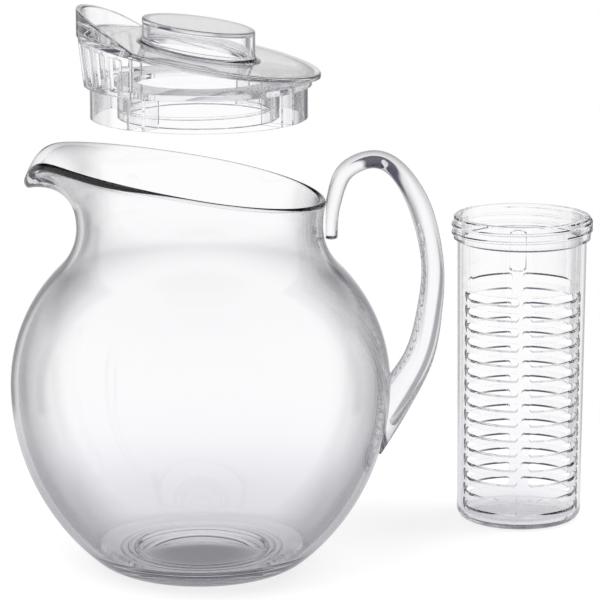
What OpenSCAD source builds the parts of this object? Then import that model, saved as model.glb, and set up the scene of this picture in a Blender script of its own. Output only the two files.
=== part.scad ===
// A clear acrylic fruit infusion pitcher: a globe jug with a slanted mouth and a bonded strap handle,
// a lift-off lid with a straining pour window, and a slotted infuser tube that screws into the lid.
// Millimetres. The origin is the middle of the base, +Z is up, the spout points to -X, the handle to +X.
// The lid is drawn lifted off above the mouth and the infuser stands beside the jug.

/* [Globe] */
// Outside diameter of the globe at its widest ring
globe_d = 185.4; // [179:0.2:193]
// Height of the widest ring above the table
globe_mid_h = 91.8; // [89:0.2:95]
// Diameter of the flat foot that the jug stands on
foot_d = 72.4; // [64:0.2:82]
// Radius of the heel between the foot and the globe
heel_round = 26; // [16:0.5:30]
// Wall of the globe, the neck and the mouth
wall = 3.6; // [2.8:0.1:4.2]
// Thickness of the base
base_t = 9; // [6:0.5:12]
// Radius between the floor inside and the wall
floor_round = 40; // [30:1:44]

/* [Mouth] */
// Outside diameter of the neck at its narrowest
neck_d = 119.6; // [117:0.2:121]
// Height of the neck's narrowest ring
neck_h = 169.6; // [165:0.2:172]
// Hollow radius between the globe and the neck
neck_round = 28; // [20:0.5:32]
// Outside diameter of the mouth at its rim, away from the spout
mouth_d = 122.2; // [121.4:0.2:127]
// Height of the rim at the handle
rim_h = 183.2; // [180:0.2:188]
// Slope of the rim in degrees, rising from the handle to the spout
rim_slope = 10; // [7:0.5:12]
// Reach of the spout's tip from the axis
spout_reach = 85; // [78:0.5:92]
// How far the lip bends down at the spout's tip
spout_droop = 11.5; // [6:0.5:14]
// Half of the angle in degrees over which the lip bends down
droop_spread = 13; // [8:1:20]
// How far the wall still climbs over the last half of its bend to the rim
lip_run = 5; // [3:0.5:8]

/* [Handle] */
// Rise of the handle's arch above the rim at the handle
handle_rise = 23.7; // [18:0.1:30]
// Clear gap between the handle's bow and the globe's widest ring
handle_gap = 14.5; // [10:0.5:24]
// How far the free end hangs below the rim
handle_tail = 19; // [14:0.5:24]
// Height of the foot's middle above the table
handle_foot_h = 81; // [74:0.5:88]
// Thickness of the handle at its free end
tail_t = 7.4; // [6:0.2:9]
// Thickness of the handle in its arch
arch_t = 8.6; // [7:0.2:11]
// Thickness of the handle in its bow
bow_t = 11; // [9:0.2:13]
// Thickness of the handle at its foot
foot_t = 16; // [12:0.5:19]
// Width of the handle at its free end
tail_w = 13; // [10:0.5:18]
// Width of the handle at its foot
foot_w = 20; // [14:0.5:24]

/* [Lid] */
// How far the lid is lifted above its seat on the rim
lid_raise = 59; // [20:1:120]
// How far the lid's plate reaches over the inner edge of the rim
lid_overlap = 1.2; // [0.8:0.1:2]
// Thickness of the slanted plate
plate_t = 2.4; // [1.8:0.1:3]
// Clearance between the drum under the plate and the neck
drum_clear = 1.8; // [1:0.1:3]
// Wall of the drum, the skirt and the strainer
lid_wall = 1.9; // [1.5:0.1:2.4]
// Depth of the drum below the plate at its shallow side
drum_depth = 4.2; // [3.4:0.1:9]
// Thickness of the ledge that closes the drum
ledge_t = 2.6; // [2:0.1:3]
// Height of the skirt below the ledge
skirt_h = 15.6; // [12:0.1:18]
// Height of the hood over the spout
hood_h = 11; // [8:0.1:14]
// Angle in degrees that the hood covers on each side of the spout
hood_half_angle = 60; // [45:1:70]
// Radius of the crowned upper edge of the hood, seen from the side
hood_crown = 130; // [60:1:400]
// Extra thickness of the hood at its root
hood_root = 3.5; // [2:0.1:5]
// Number of slots in the pour strainer
strainer_slots = 9; // [5:2:13]
// Width of a strainer slot
strainer_slot_w = 6.4; // [4:0.1:7]
// Angle in degrees that the strainer covers on each side of the spout
strainer_half_angle = 56; // [50:1:60]
// Number of rib pairs between the skirt and the collar
rib_pairs = 4; // [3:1:5]
// Distance between the two ribs of a pair
rib_gap = 8.6; // [6:0.1:11]

/* [Grip cup] */
// Outside diameter of the grip cup on the lid
cup_d = 54.3; // [46:0.1:62]
// Height of the grip cup above the plate at the axis
cup_h = 13.1; // [10:0.1:18]
// Wall of the grip cup
cup_wall = 2.2; // [1.6:0.1:3]
// Slope of the grip cup's top in degrees
cup_slope = 7.3; // [4:0.1:9]
// Width of the foot flange of the grip cup
cup_foot = 1.6; // [1:0.1:2.4]

/* [Infuser] */
// Where the infuser stands, right of the jug's axis
infuser_x = 161.5; // [157:0.5:180]
// Where the infuser stands, behind the jug's axis
infuser_y = 88; // [60:1:130]
// Height of the infuser
infuser_h = 158; // [145:1:160]
// Outside diameter of the infuser's tube under its rim
tube_d = 66; // [60:0.1:68]
// How much narrower the tube is at its base
tube_taper = 2.4; // [0:0.1:4]
// Wall of the tube
tube_wall = 2; // [1.5:0.1:2.6]
// Radius of the tube's lower edge
tube_round = 5; // [3:0.5:8]
// Outside diameter of the rim band that carries the thread
band_d = 69.8; // [69:0.1:72]
// Height of the rim band
band_h = 12; // [10:0.1:14]
// Number of rows of slots
slot_rows = 15; // [8:1:15]
// Distance from one row of slots to the next
slot_pitch = 7.8; // [7:0.1:7.9]
// Height of a slot
slot_h = 3.6; // [2:0.1:4]
// Height of the lowest slot above the table
slot_low = 8.4; // [7:0.1:10]
// Width of the upright bar between two columns of slots
bar_w = 5.6; // [4:0.1:8]
// Distance from the axis to the outer end of a slot
slot_end = 27.6; // [22:0.1:28.6]
// Width of the raised pad below the rim
pad_w = 9; // [7:0.1:12]
// Height of the raised pad
pad_h = 24; // [16:0.5:26]

/* [Thread] */
// Height of the thread's ridge on the infuser
ridge_h = 1.1; // [0.8:0.1:1.3]
// Climb of the thread in one turn
thread_pitch = 4; // [3:0.1:5]
// Turns of the thread on the infuser
thread_turns = 2.3; // [1:0.1:2.4]
// Turns of the thread in the collar
collar_turns = 1.5; // [1:0.1:2]
// Width of a ridge at its root
ridge_w = 1.6; // [1.2:0.1:1.8]
// Clearance between the infuser's ridge and the collar's bore
thread_clear = 0.8; // [0.5:0.1:1]
// Wall of the collar
collar_wall = 2.5; // [2:0.1:3.5]

/* [Fits] */
// Gap between the lid's plate and the rim when the lid is seated
seat_gap = 0.3; // [0.2:0.05:0.6]
// Glue line between bonded pieces
bond_gap = 0.05; // [0.03:0.01:0.1]

/* [Hidden] */
$fn = 96;
clear_tint = [0.90, 0.92, 0.95, 0.45];
lid_tint = [0.86, 0.88, 0.92, 0.50];
infuser_tint = [0.88, 0.90, 0.94, 0.50];
// Degrees between two points of a rounded outline
arc_step = 4;
// A length that reaches past every piece, and how far a cut runs past the face that it opens
far = 4 * globe_d;
over = 1;

// Globe: the heel, a lower and an upper arc that meet at the widest ring, and a hollow arc into the neck.
globe_r = globe_d / 2;
foot_r = foot_d / 2;
neck_r = neck_d / 2;
neck_rise = neck_h - globe_mid_h;
heel_x = globe_r - heel_round;
heel_rise = globe_mid_h - heel_round;
low_x = (heel_x^2 - foot_r^2 - heel_rise^2) / (2 * (heel_x - foot_r));
low_r = globe_r - low_x;
throat_x = neck_r + neck_round;
high_x = ((globe_r + neck_round)^2 - throat_x^2 - neck_rise^2) / (2 * (globe_r - neck_r));
high_r = globe_r - high_x;
throat_angle = atan2(neck_rise, throat_x - high_x);
heel_angle = atan2(-heel_rise, foot_r - low_x);
// The floor inside meets the lower arc in a round of its own.
floor_low_r = low_r - wall - floor_round;
floor_drop = globe_mid_h - base_t - floor_round;
floor_x = low_x + sqrt(floor_low_r^2 - floor_drop^2);
floor_angle = atan2(-floor_drop, floor_x - low_x);

// Mouth: the wall bends out from the neck to a rim on a slanted plane, oval towards the spout.
mouth_sides = 72;
mouth_rows = 9;
lip_rows = 4;
mouth_lap = 1;
mouth_inset = 0.12;
mouth_start = neck_h - mouth_lap;
body_top = neck_h + mouth_lap / 2;
neck_mid_r = (neck_d - wall) / 2;
mouth_mid_r = (mouth_d - wall) / 2;
spout_mid_r = spout_reach - wall / 2;
skin_half = wall / 2 - mouth_inset;
rim_rise = tan(rim_slope);
rim_mid_z = rim_h - wall / 2 + mouth_mid_r * rim_rise;

// Handle: points of its middle line from the free end over the arch and down the bow to the foot.
handle_sides = 16;
handle_steps = 4;
curve_step = 0.02;
saddle = 0.6;
foot_sink = 1;
tail_lean = 1.2;
tail_bend = 4;
arch_share = 0.4;
tail_x = mouth_d / 2 - saddle + tail_t / 2;
bow_x = globe_r + handle_gap + bow_t / 2;
arch_z = rim_h + handle_rise - arch_t / 2;
arch_x = tail_x + arch_share * (bow_x - tail_x);
foot_x = globe_r - foot_sink;
// Steps from the arch: how far in from the tail or the bow, and how far down.
climb = [5.8, 6.4];
crest = [17, 5.6];
turn = [6, 24];
bow = [0, 50];
waist = [1.8, 74];
sweep = [7.8, 98];
root = [12, 20];
handle_points = [
    [tail_x - tail_lean, rim_h - handle_tail],
    [tail_x, rim_h - tail_bend],
    [tail_x + climb[0], arch_z - climb[1]],
    [arch_x, arch_z],
    for (step = [crest, turn, bow, waist, sweep]) [bow_x - step[0], arch_z - step[1]],
    [foot_x, handle_foot_h],
    [foot_x - root[0], handle_foot_h - root[1]]
];
crest_t = arch_t + 0.6;
sweep_t = bow_t + 1;
handle_thick = [tail_t, tail_t, arch_t, arch_t, crest_t, bow_t, bow_t, bow_t, sweep_t, foot_t, foot_t];
handle_last = len(handle_points) - 1;

// Lid: every height is that of the seated lid, and lid_raise lifts the finished pieces.
flange_r = mouth_d / 2 - wall + lid_overlap;
drum_r = neck_r - wall - drum_clear;
strainer_r = drum_r + drum_clear / 2;
seat_h = rim_h + mouth_mid_r * rim_rise + seat_gap;
shoulder_h = seat_h - drum_r * rim_rise - drum_depth;
skirt_r = drum_r - lid_wall - bond_gap;
skirt_low = shoulder_h - skirt_h;
plate_top = seat_h + plate_t / cos(rim_slope);
// The hood's upper edge is a wide arc, seen from the side, from its end on the plate up to its tip.
hood_end_x = -flange_r * cos(hood_half_angle);
hood_end = [hood_end_x, plate_top - hood_end_x * rim_rise];
hood_tip = [-flange_r, plate_top + flange_r * rim_rise + hood_h];
hood_chord = hood_end - hood_tip;
hood_drop = sqrt(hood_crown^2 - (norm(hood_chord) / 2)^2);
hood_mid = (hood_end + hood_tip) / 2 + hood_drop * beside(unit(hood_chord));
hood_lip = 0.4;
hood_t = lid_wall + hood_lip;
strainer_rail = 2.4;
strainer_edge = 4;
strainer_step = 2 * (strainer_half_angle - strainer_edge) / strainer_slots;
port_half_angle = 48;
port_rail = 1.4;
rib_t = 1.6;
rib_turn = 34;
cup_r = cup_d / 2;
cup_top = plate_top + cup_h;
cup_top_t = 2;

// Infuser and thread: the collar's bore follows the infuser's rim and its ridge.
tube_r = tube_d / 2;
tube_low_r = (tube_d - tube_taper) / 2;
band_r = band_d / 2;
tube_base_t = 3;
band_low = infuser_h - band_h;
band_chamfer = 0.6;
rim_in_r = tube_r - tube_wall;
ridge_r = band_r + ridge_h;
ridge_root = 0.6;
ridge_steps = 36;
ridge_foot_half = ridge_w / 2;
ridge_crest_half = 0.3 * ridge_w;
ridge_run_out = ridge_steps / 12;
ridge_tip = 0.3;
bore_r = ridge_r + thread_clear;
collar_r = bore_r + collar_wall;
collar_ridge_r = band_r + thread_clear / 2;
ledge_in_r = rim_in_r;
pad_proud = 0.9;
pad_round = 2;
pad_drop = 2;
pad_top = band_low - pad_drop;

// Points on a circle around p from angle a to angle b, in even steps.
function arc(p, r, a, b) =
    let (n = ceil(abs(b - a) / arc_step))
    [for (i = [0 : n]) p + r * [cos(a + (b - a) * i / n), sin(a + (b - a) * i / n)]];

// Outer outline of the globe from the foot up to the neck, grown by g.
function globe_side(g) = concat(
    arc([foot_r, heel_round], heel_round + g, -90, heel_angle),
    arc([low_x, globe_mid_h], low_r + g, heel_angle, 0),
    arc([high_x, globe_mid_h], high_r + g, 0, throat_angle),
    arc([throat_x, neck_h], neck_round - g, 180 + throat_angle, 180)
);

// Inner outline of the globe from the neck down to the floor.
function globe_inside() = concat(
    arc([throat_x, neck_h], neck_round + wall, 180, 180 + throat_angle),
    arc([high_x, globe_mid_h], high_r - wall, throat_angle, 0),
    arc([low_x, globe_mid_h], low_r - wall, 0, floor_angle),
    arc([floor_x, base_t + floor_round], floor_round, floor_angle, -90)
);

// Rim of the mouth at angle a from the handle: distance from the axis, bend of the lip, and height.
function rim_r(a) =
    cos(a) > 0 ? mouth_mid_r :
    spout_mid_r * mouth_mid_r / sqrt((mouth_mid_r * cos(a))^2 + (spout_mid_r * sin(a))^2);
function lip_droop(a) = spout_droop * exp(-((a - 180) / droop_spread)^2);
function rim_z(a) = rim_mid_z - rim_r(a) * cos(a) * rim_rise - lip_droop(a);

// Middle of the mouth's wall and its direction, at angle a and at share t of the way up to the rim.
function mouth_mid(a, t) =
    let (z = rim_z(a), low = mouth_start, bend = z - lip_run)
    [neck_mid_r + (rim_r(a) - neck_mid_r) * t^2, low + 2 * t * (1 - t) * (bend - low) + t^2 * (z - low)];
function mouth_way(a, t) =
    let (z = rim_z(a), low = mouth_start, bend = z - lip_run)
    unit([(rim_r(a) - neck_mid_r) * t, (1 - t) * (bend - low) + t * (z - bend)]);
function unit(v) = v / norm(v);
function beside(v) = [v[1], -v[0]];
function around(p, a) = [p[0] * cos(a), p[0] * sin(a), p[1]];

// Outline of the mouth's wall at angle a: up the outside, round the lip and down the inside.
function mouth_outline(a) =
    let (end = mouth_mid(a, 1), way = mouth_way(a, 1), out = beside(way))
    concat(
        [for (i = [0 : mouth_rows]) let (t = i / mouth_rows)
            mouth_mid(a, t) + skin_half * beside(mouth_way(a, t))],
        [for (i = [1 : lip_rows - 1]) let (q = 180 * i / lip_rows)
            end + skin_half * (way * sin(q) + out * cos(q))],
        [for (i = [mouth_rows : -1 : 0]) let (t = i / mouth_rows)
            mouth_mid(a, t) - skin_half * beside(mouth_way(a, t))]
    );

// Smooth curve through a list of points: value at share u between points i and i + 1.
function curve_at(p, i, u) =
    let (a = p[max(i - 1, 0)], b = p[i], c = p[i + 1], d = p[min(i + 2, len(p) - 1)])
    0.5 * (2 * b + (c - a) * u + (2 * a - 5 * b + 4 * c - d) * u^2 + (3 * b - a - 3 * c + d) * u^3);

// Triangles between neighbouring rings of n points, with a loop closed or its two ends capped.
function side_faces(rings, n, loop) =
    [for (i = [0 : rings - (loop ? 1 : 2)], k = [0 : n - 1])
        let (j = (i + 1) % rings, m = (k + 1) % n)
        each [[i * n + k, i * n + m, j * n + k], [i * n + m, j * n + m, j * n + k]]];
function end_faces(rings, n) =
    let (last = (rings - 1) * n)
    [for (k = [1 : n - 2]) each [[0, k + 1, k], [last, last + k, last + k + 1]]];

// A solid skinned over rings of points.
module skin(rings, loop) {
    n = len(rings[0]);
    sides = side_faces(len(rings), n, loop);
    faces = loop ? sides : concat(sides, end_faces(len(rings), n));
    polyhedron(points = [for (r = rings) each r], faces = faces);
}

// A ring between two heights.
module ring(r_out, r_in, low, high) {
    difference() {
        translate([0, 0, low]) cylinder(r = r_out, h = high - low);
        translate([0, 0, low - over]) cylinder(r = r_in, h = high - low + 2 * over);
    }
}

// All space below or above a plane that crosses the axis at height h and rises towards the spout.
module below(h, slope) {
    translate([0, 0, h]) rotate([0, slope, 0]) translate([-far / 2, -far / 2, -far]) cube(far);
}
module above(h, slope) {
    translate([0, 0, h]) rotate([0, slope, 0]) translate([-far / 2, -far / 2, 0]) cube(far);
}

// All space within an angle on each side of the spout.
module spout_sector(half_angle) {
    reach = far / 4;
    linear_extrude(far, center = true)
        polygon([[0, 0], reach * [-cos(half_angle), sin(half_angle)], [-2 * reach, 0],
                 reach * [-cos(half_angle), -sin(half_angle)]]);
}

// A screw ridge around the axis, from radius r_root to r_crest, that starts at height low.
module ridge(r_root, r_crest, low, turns) {
    n = ceil(turns * ridge_steps);
    side = sign(r_crest - r_root);
    foot_half = side * ridge_foot_half;
    crest_half = side * ridge_crest_half;
    skin([for (i = [0 : n])
        let (a = 360 * i / ridge_steps, z = low + thread_pitch * i / ridge_steps)
        let (grow = min(1, (min(i, n - i) + ridge_tip) / ridge_run_out))
        let (r_top = r_root + (r_crest - r_root) * grow)
        [around([r_root, z + foot_half], a), around([r_root, z - foot_half], a),
         around([r_top, z - crest_half], a), around([r_top, z + crest_half], a)]], false);
}

// Jug: the turned globe and neck, and the mouth with its spout.
module pitcher_body() {
    color(clear_tint)
    union() {
        rotate_extrude()
            polygon(concat([[0, 0]], globe_side(0), [[neck_r, body_top], [neck_r - wall, body_top]],
                           globe_inside(), [[0, base_t]]));
        skin([for (i = [0 : mouth_sides - 1]) let (a = 360 * i / mouth_sides)
            [for (p = mouth_outline(a)) around(p, a)]], true);
    }
}

// Handle: a swept strap, cut to the globe at its foot and to the rim at its free end.
module pitcher_handle() {
    steps = handle_last * handle_steps;
    rings = [for (s = [0 : steps])
        let (i = min(floor(s / handle_steps), handle_last - 1), u = s / handle_steps - i)
        let (p = curve_at(handle_points, i, u), back = curve_at(handle_points, i, u - curve_step))
        let (ahead = curve_at(handle_points, i, u + curve_step), out = beside(unit(ahead - back)))
        let (t = curve_at(handle_thick, i, u), w = tail_w + (foot_w - tail_w) * s / steps)
        [for (k = [0 : handle_sides - 1])
            let (q = 360 * k / handle_sides, m = p + out * cos(q) * t / 2)
            [m[0], -sin(q) * w / 2, m[1]]]];
    color(clear_tint)
    difference() {
        skin(rings, false);
        rotate_extrude() polygon(concat([[0, 0]], globe_side(bond_gap), [[0, neck_h]]));
        translate([0, 0, neck_h - handle_tail]) cylinder(r = mouth_d / 2 + bond_gap, h = far);
    }
}

// Lid cover: the slanted plate, the drum under it and the hood over the spout.
module lid_cover() {
    color(lid_tint) translate([0, 0, lid_raise])
    difference() {
        union() {
            intersection() {
                cylinder(r = flange_r, h = far);
                above(seat_h, rim_slope);
                below(plate_top, rim_slope);
            }
            difference() {
                intersection() {
                    ring(drum_r, drum_r - lid_wall, shoulder_h, far);
                    below((seat_h + plate_top) / 2, rim_slope);
                }
                intersection() {
                    spout_sector(strainer_half_angle);
                    below(seat_h, rim_slope);
                }
            }
            intersection() {
                rotate_extrude() polygon(hood_section());
                above((seat_h + plate_top) / 2, rim_slope);
                translate([hood_mid[0], 0, hood_mid[1]])
                    rotate([90, 0, 0]) cylinder(r = hood_crown, h = far, center = true);
                spout_sector(hood_half_angle);
            }
        }
        cylinder(r = cup_r - cup_wall, h = far);
    }
}

// Section of the hood: upright outside, thicker towards its root inside.
function hood_section() =
    let (low = plate_top, high = plate_top + flange_r * rim_rise + hood_h)
    [[flange_r - hood_t - hood_root, low], [flange_r, low], [flange_r, high], [flange_r - hood_t, high]];

// Grip cup: a closed cap with a slanted top on the plate, open towards the drum.
module lid_grip_cup() {
    color(lid_tint) translate([0, 0, lid_raise])
    difference() {
        intersection() {
            union() {
                intersection() {
                    cylinder(r = cup_r, h = far);
                    below(cup_top, cup_slope);
                }
                intersection() {
                    cylinder(r = cup_r + cup_foot, h = far);
                    below(plate_top + cup_foot, rim_slope);
                }
            }
            above(plate_top, rim_slope);
        }
        intersection() {
            cylinder(r = cup_r - cup_wall, h = far);
            below(cup_top - cup_top_t, cup_slope);
        }
    }
}

// Pour strainer: a curved grille that fills the drum's window under the hood.
module pour_strainer() {
    color(lid_tint) translate([0, 0, lid_raise])
    difference() {
        intersection() {
            ring(strainer_r, drum_r - lid_wall, shoulder_h, far);
            spout_sector(strainer_half_angle - bond_gap);
            below(seat_h - bond_gap, rim_slope);
        }
        intersection() {
            for (i = [0 : strainer_slots - 1])
                rotate([0, 0, 180 + (i - (strainer_slots - 1) / 2) * strainer_step])
                    translate([drum_r / 2, -strainer_slot_w / 2, shoulder_h + strainer_rail])
                        cube([drum_r, strainer_slot_w, far]);
            below(seat_h - strainer_rail, rim_slope);
        }
    }
}

// Base ring of the lid: the ledge, the skirt and the rib pairs, with the port that feeds the strainer.
module lid_base_ring() {
    rib_in = collar_r + bond_gap;
    color(lid_tint) translate([0, 0, lid_raise])
    union() {
        difference() {
            ring(skirt_r, ledge_in_r, shoulder_h, shoulder_h + ledge_t);
            intersection() {
                ring(skirt_r - lid_wall - port_rail, collar_r + port_rail, shoulder_h - over, far);
                spout_sector(port_half_angle);
            }
        }
        ring(skirt_r, skirt_r - lid_wall, skirt_low, shoulder_h + ledge_t);
        for (i = [0 : rib_pairs - 1], side = [-1, 1])
            rotate([0, 0, -90 - rib_turn + 360 * i / rib_pairs])
                translate([rib_in, side * rib_gap / 2 - rib_t / 2, skirt_low])
                    cube([skirt_r - lid_wall / 2 - rib_in, rib_t, skirt_h + ledge_t / 2]);
    }
}

// Collar: the threaded ring under the ledge that takes the infuser's rim.
module infuser_collar() {
    color(lid_tint) translate([0, 0, lid_raise])
    union() {
        ring(collar_r, bore_r, skirt_low, shoulder_h);
        ridge(bore_r + ridge_root, collar_ridge_r, skirt_low + thread_pitch / 2, collar_turns);
    }
}

// One slot of the infuser, with round ends, through both walls.
module slot_cut() {
    length = slot_end - bar_w / 2;
    rotate([90, 0, 0]) linear_extrude(far, center = true)
        union() {
            translate([bar_w / 2 + slot_h / 2, -slot_h / 2]) square([length - slot_h, slot_h]);
            for (x = [bar_w / 2 + slot_h / 2, slot_end - slot_h / 2])
                translate([x, 0]) circle(d = slot_h);
        }
}

// Outline of the infuser: up the outside to the rim and down the inside to the floor.
function tube_outline() =
    let (in_r = tube_low_r - tube_wall, in_round = tube_round - tube_wall)
    concat(
        [[0, 0]],
        arc([tube_low_r - tube_round, tube_round], tube_round, -90, 0),
        [[tube_r, band_low - band_chamfer], [band_r, band_low + band_chamfer]],
        [[band_r, infuser_h - band_chamfer], [band_r - band_chamfer, infuser_h], [rim_in_r, infuser_h]],
        arc([in_r - in_round, tube_base_t + in_round], in_round, 0, -90),
        [[0, tube_base_t]]
    );

// Infuser: a slotted cup with a raised pad below its threaded rim.
module infuser_tube() {
    color(infuser_tint) translate([infuser_x, infuser_y, 0])
    union() {
        difference() {
            union() {
                rotate_extrude() polygon(tube_outline());
                intersection() {
                    ring(tube_r + pad_proud, rim_in_r + tube_wall / 2, pad_top - pad_h, pad_top);
                    translate([0, far / 2, pad_top - pad_h / 2])
                        rotate([90, 0, 0]) linear_extrude(far / 2) pad_shape();
                }
            }
            for (i = [0 : slot_rows - 1], side = [0, 1])
                translate([0, 0, slot_low + slot_h / 2 + i * slot_pitch])
                    mirror([side, 0, 0]) slot_cut();
        }
        ridge(band_r - ridge_root, ridge_r, band_low + thread_pitch / 2 - band_chamfer, thread_turns);
    }
}

// Rounded outline of the raised pad.
module pad_shape() {
    square([pad_w - 2 * pad_round, pad_h], center = true);
    square([pad_w, pad_h - 2 * pad_round], center = true);
    for (x = [-1, 1], y = [-1, 1])
        translate([x * (pad_w / 2 - pad_round), y * (pad_h / 2 - pad_round)]) circle(r = pad_round);
}

pitcher_body();
pitcher_handle();
lid_cover();
lid_grip_cup();
pour_strainer();
lid_base_ring();
infuser_collar();
infuser_tube();
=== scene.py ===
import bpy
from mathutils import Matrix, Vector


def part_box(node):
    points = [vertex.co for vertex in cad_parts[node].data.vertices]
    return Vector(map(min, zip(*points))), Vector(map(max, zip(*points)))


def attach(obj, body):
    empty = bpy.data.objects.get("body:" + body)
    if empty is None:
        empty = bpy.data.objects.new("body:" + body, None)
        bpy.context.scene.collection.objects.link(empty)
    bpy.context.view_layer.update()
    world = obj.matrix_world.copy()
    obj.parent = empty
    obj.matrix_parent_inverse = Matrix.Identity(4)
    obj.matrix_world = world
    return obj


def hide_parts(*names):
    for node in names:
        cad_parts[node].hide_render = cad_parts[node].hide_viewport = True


bl_info = {
    "name": "Fruit Infusion Pitcher",
    "version": (1, 0, 0),
    "blender": (4, 5, 0),
    "location": "View3D > Sidebar > Pitcher",
    "description": "Builds a clear globe pitcher with its straining lid and its slotted infuser",
    "category": "Object",
}

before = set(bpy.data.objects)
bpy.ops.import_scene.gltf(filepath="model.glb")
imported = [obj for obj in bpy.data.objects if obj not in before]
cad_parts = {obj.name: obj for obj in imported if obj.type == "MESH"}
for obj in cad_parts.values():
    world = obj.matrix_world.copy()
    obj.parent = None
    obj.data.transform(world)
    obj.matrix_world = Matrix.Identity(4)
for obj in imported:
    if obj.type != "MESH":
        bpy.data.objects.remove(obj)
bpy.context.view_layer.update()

import math
from functools import partial
from types import SimpleNamespace

import bmesh
import bpy
from bpy.props import FloatProperty, FloatVectorProperty, IntProperty, PointerProperty
from mathutils import Vector

MM = 0.001
JUG_LOW, JUG_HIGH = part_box("pitcher_body")
COVER_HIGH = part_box("lid_cover")[1]
COLLAR_LOW, COLLAR_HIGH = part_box("infuser_collar")
TUBE_LOW, TUBE_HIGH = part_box("infuser_tube")
TUBE_MIDDLE = (TUBE_LOW + TUBE_HIGH) / 2

# The glue line between bonded pieces, and the distance under which two points are one.
BOND = 0.05 * MM
WELD = 0.002 * MM
TURN = 2 * math.pi
HALF_TURN = math.pi
QUARTER = math.pi / 2
# Edges that turn by more than this many degrees stay sharp.
SHARP_TURN = 40


# Properties

def length(label, text, metres):
    return FloatProperty(name=label, description=text, default=metres, precision=5,
                         unit="LENGTH", subtype="DISTANCE")


def angle(label, text, degrees):
    return FloatProperty(name=label, description=text, default=math.radians(degrees),
                         unit="ROTATION", subtype="ANGLE")


def number(label, text, value):
    return IntProperty(name=label, description=text, default=value, min=1)


def share(label, text, value):
    return FloatProperty(name=label, description=text, default=value, min=0.0, max=1.0, precision=4,
                         subtype="FACTOR")


def level(label, text, value):
    return FloatProperty(name=label, description=text, default=value, min=0.0, precision=3)


def tint(label, text, colour):
    return FloatVectorProperty(name=label, description=text, default=colour, size=4, min=0.0, max=1.0,
                               subtype="COLOR")


class JugSizes(bpy.types.PropertyGroup):
    globe_d: length("Globe", "Outside diameter of the globe at its widest ring", JUG_HIGH.y - JUG_LOW.y)
    globe_mid_h: length("Widest ring", "Height of the widest ring above the table", 91.8 * MM)
    foot_d: length("Foot", "Diameter of the foot that the jug stands on", 72.4 * MM)
    heel_round: length("Heel", "Radius between the foot and the globe", 26 * MM)
    wall: length("Wall", "Wall of the globe, the neck and the mouth", 3.6 * MM)
    base_t: length("Base", "Thickness of the base", 9 * MM)
    floor_round: length("Floor round", "Radius between the floor inside and the wall", 20 * MM)
    hollow_d: length("Foot hollow", "Diameter of the domed hollow under the foot", 62 * MM)
    hollow_edge: length("Hollow edge", "Depth of the step round the hollow", 1.2 * MM)
    hollow_dome: length("Hollow dome", "Rise of the dome inside the step", 4.0 * MM)
    floor_dome: length("Floor dome", "Rise of the floor inside towards its middle", 2.2 * MM)
    floor_ring: length("Floor rings", "Height of the fine moulding rings on the floor inside", 0.4 * MM)
    neck_d: length("Neck", "Outside diameter of the neck at its narrowest", 119.6 * MM)
    neck_h: length("Neck height", "Height of the neck's narrowest ring", 169.6 * MM)
    neck_round: length("Neck round", "Hollow radius between the globe and the neck", 28 * MM)
    mouth_d: length("Mouth", "Outside diameter of the rim away from the spout", 122.2 * MM)
    rim_h: length("Rim height", "Height of the rim at the handle", 183.2 * MM)
    rim_slope: angle("Rim slope", "Slope of the rim, rising towards the spout", 10)
    spout_reach: length("Spout reach", "Reach of the spout's tip from the axis", 83 * MM)
    spout_droop: length("Spout droop", "How far the lip bends down at the spout's tip", 11.5 * MM)
    droop_spread: angle("Droop spread", "Half of the angle over which the lip bends down", 13)
    nose_t: length("Nose", "Extra thickness under the lip at the spout's tip", 4.4 * MM)
    nose_spread: angle("Nose spread", "Half of the angle over which the lip is thicker", 17)
    lip_run: length("Lip run", "Climb of the wall over the last half of its bend", 5 * MM)
    columns: number("Columns", "Points around the jug", 240)


class HandleSizes(bpy.types.PropertyGroup):
    rise: length("Rise", "Rise of the arch above the rim", 23.7 * MM)
    gap: length("Gap", "Clear gap between the bow and the globe", 14.5 * MM)
    tail: length("Tail", "How far the free end hangs below the rim", 19 * MM)
    foot_h: length("Foot height", "Height of the foot's middle above the table", 81 * MM)
    tail_t: length("Tail thickness", "Thickness at the free end", 7.4 * MM)
    arch_t: length("Arch thickness", "Thickness in the arch", 8.6 * MM)
    bow_t: length("Bow thickness", "Thickness in the bow", 11 * MM)
    foot_t: length("Foot thickness", "Thickness at the foot", 16 * MM)
    tail_w: length("Tail width", "Width at the free end", 13 * MM)
    foot_w: length("Foot width", "Width at the foot", 20 * MM)
    end_round: length("End round", "Radius of the edge of the free end", 1.1 * MM)
    sides: number("Sides", "Points around the handle's section", 48)


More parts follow.
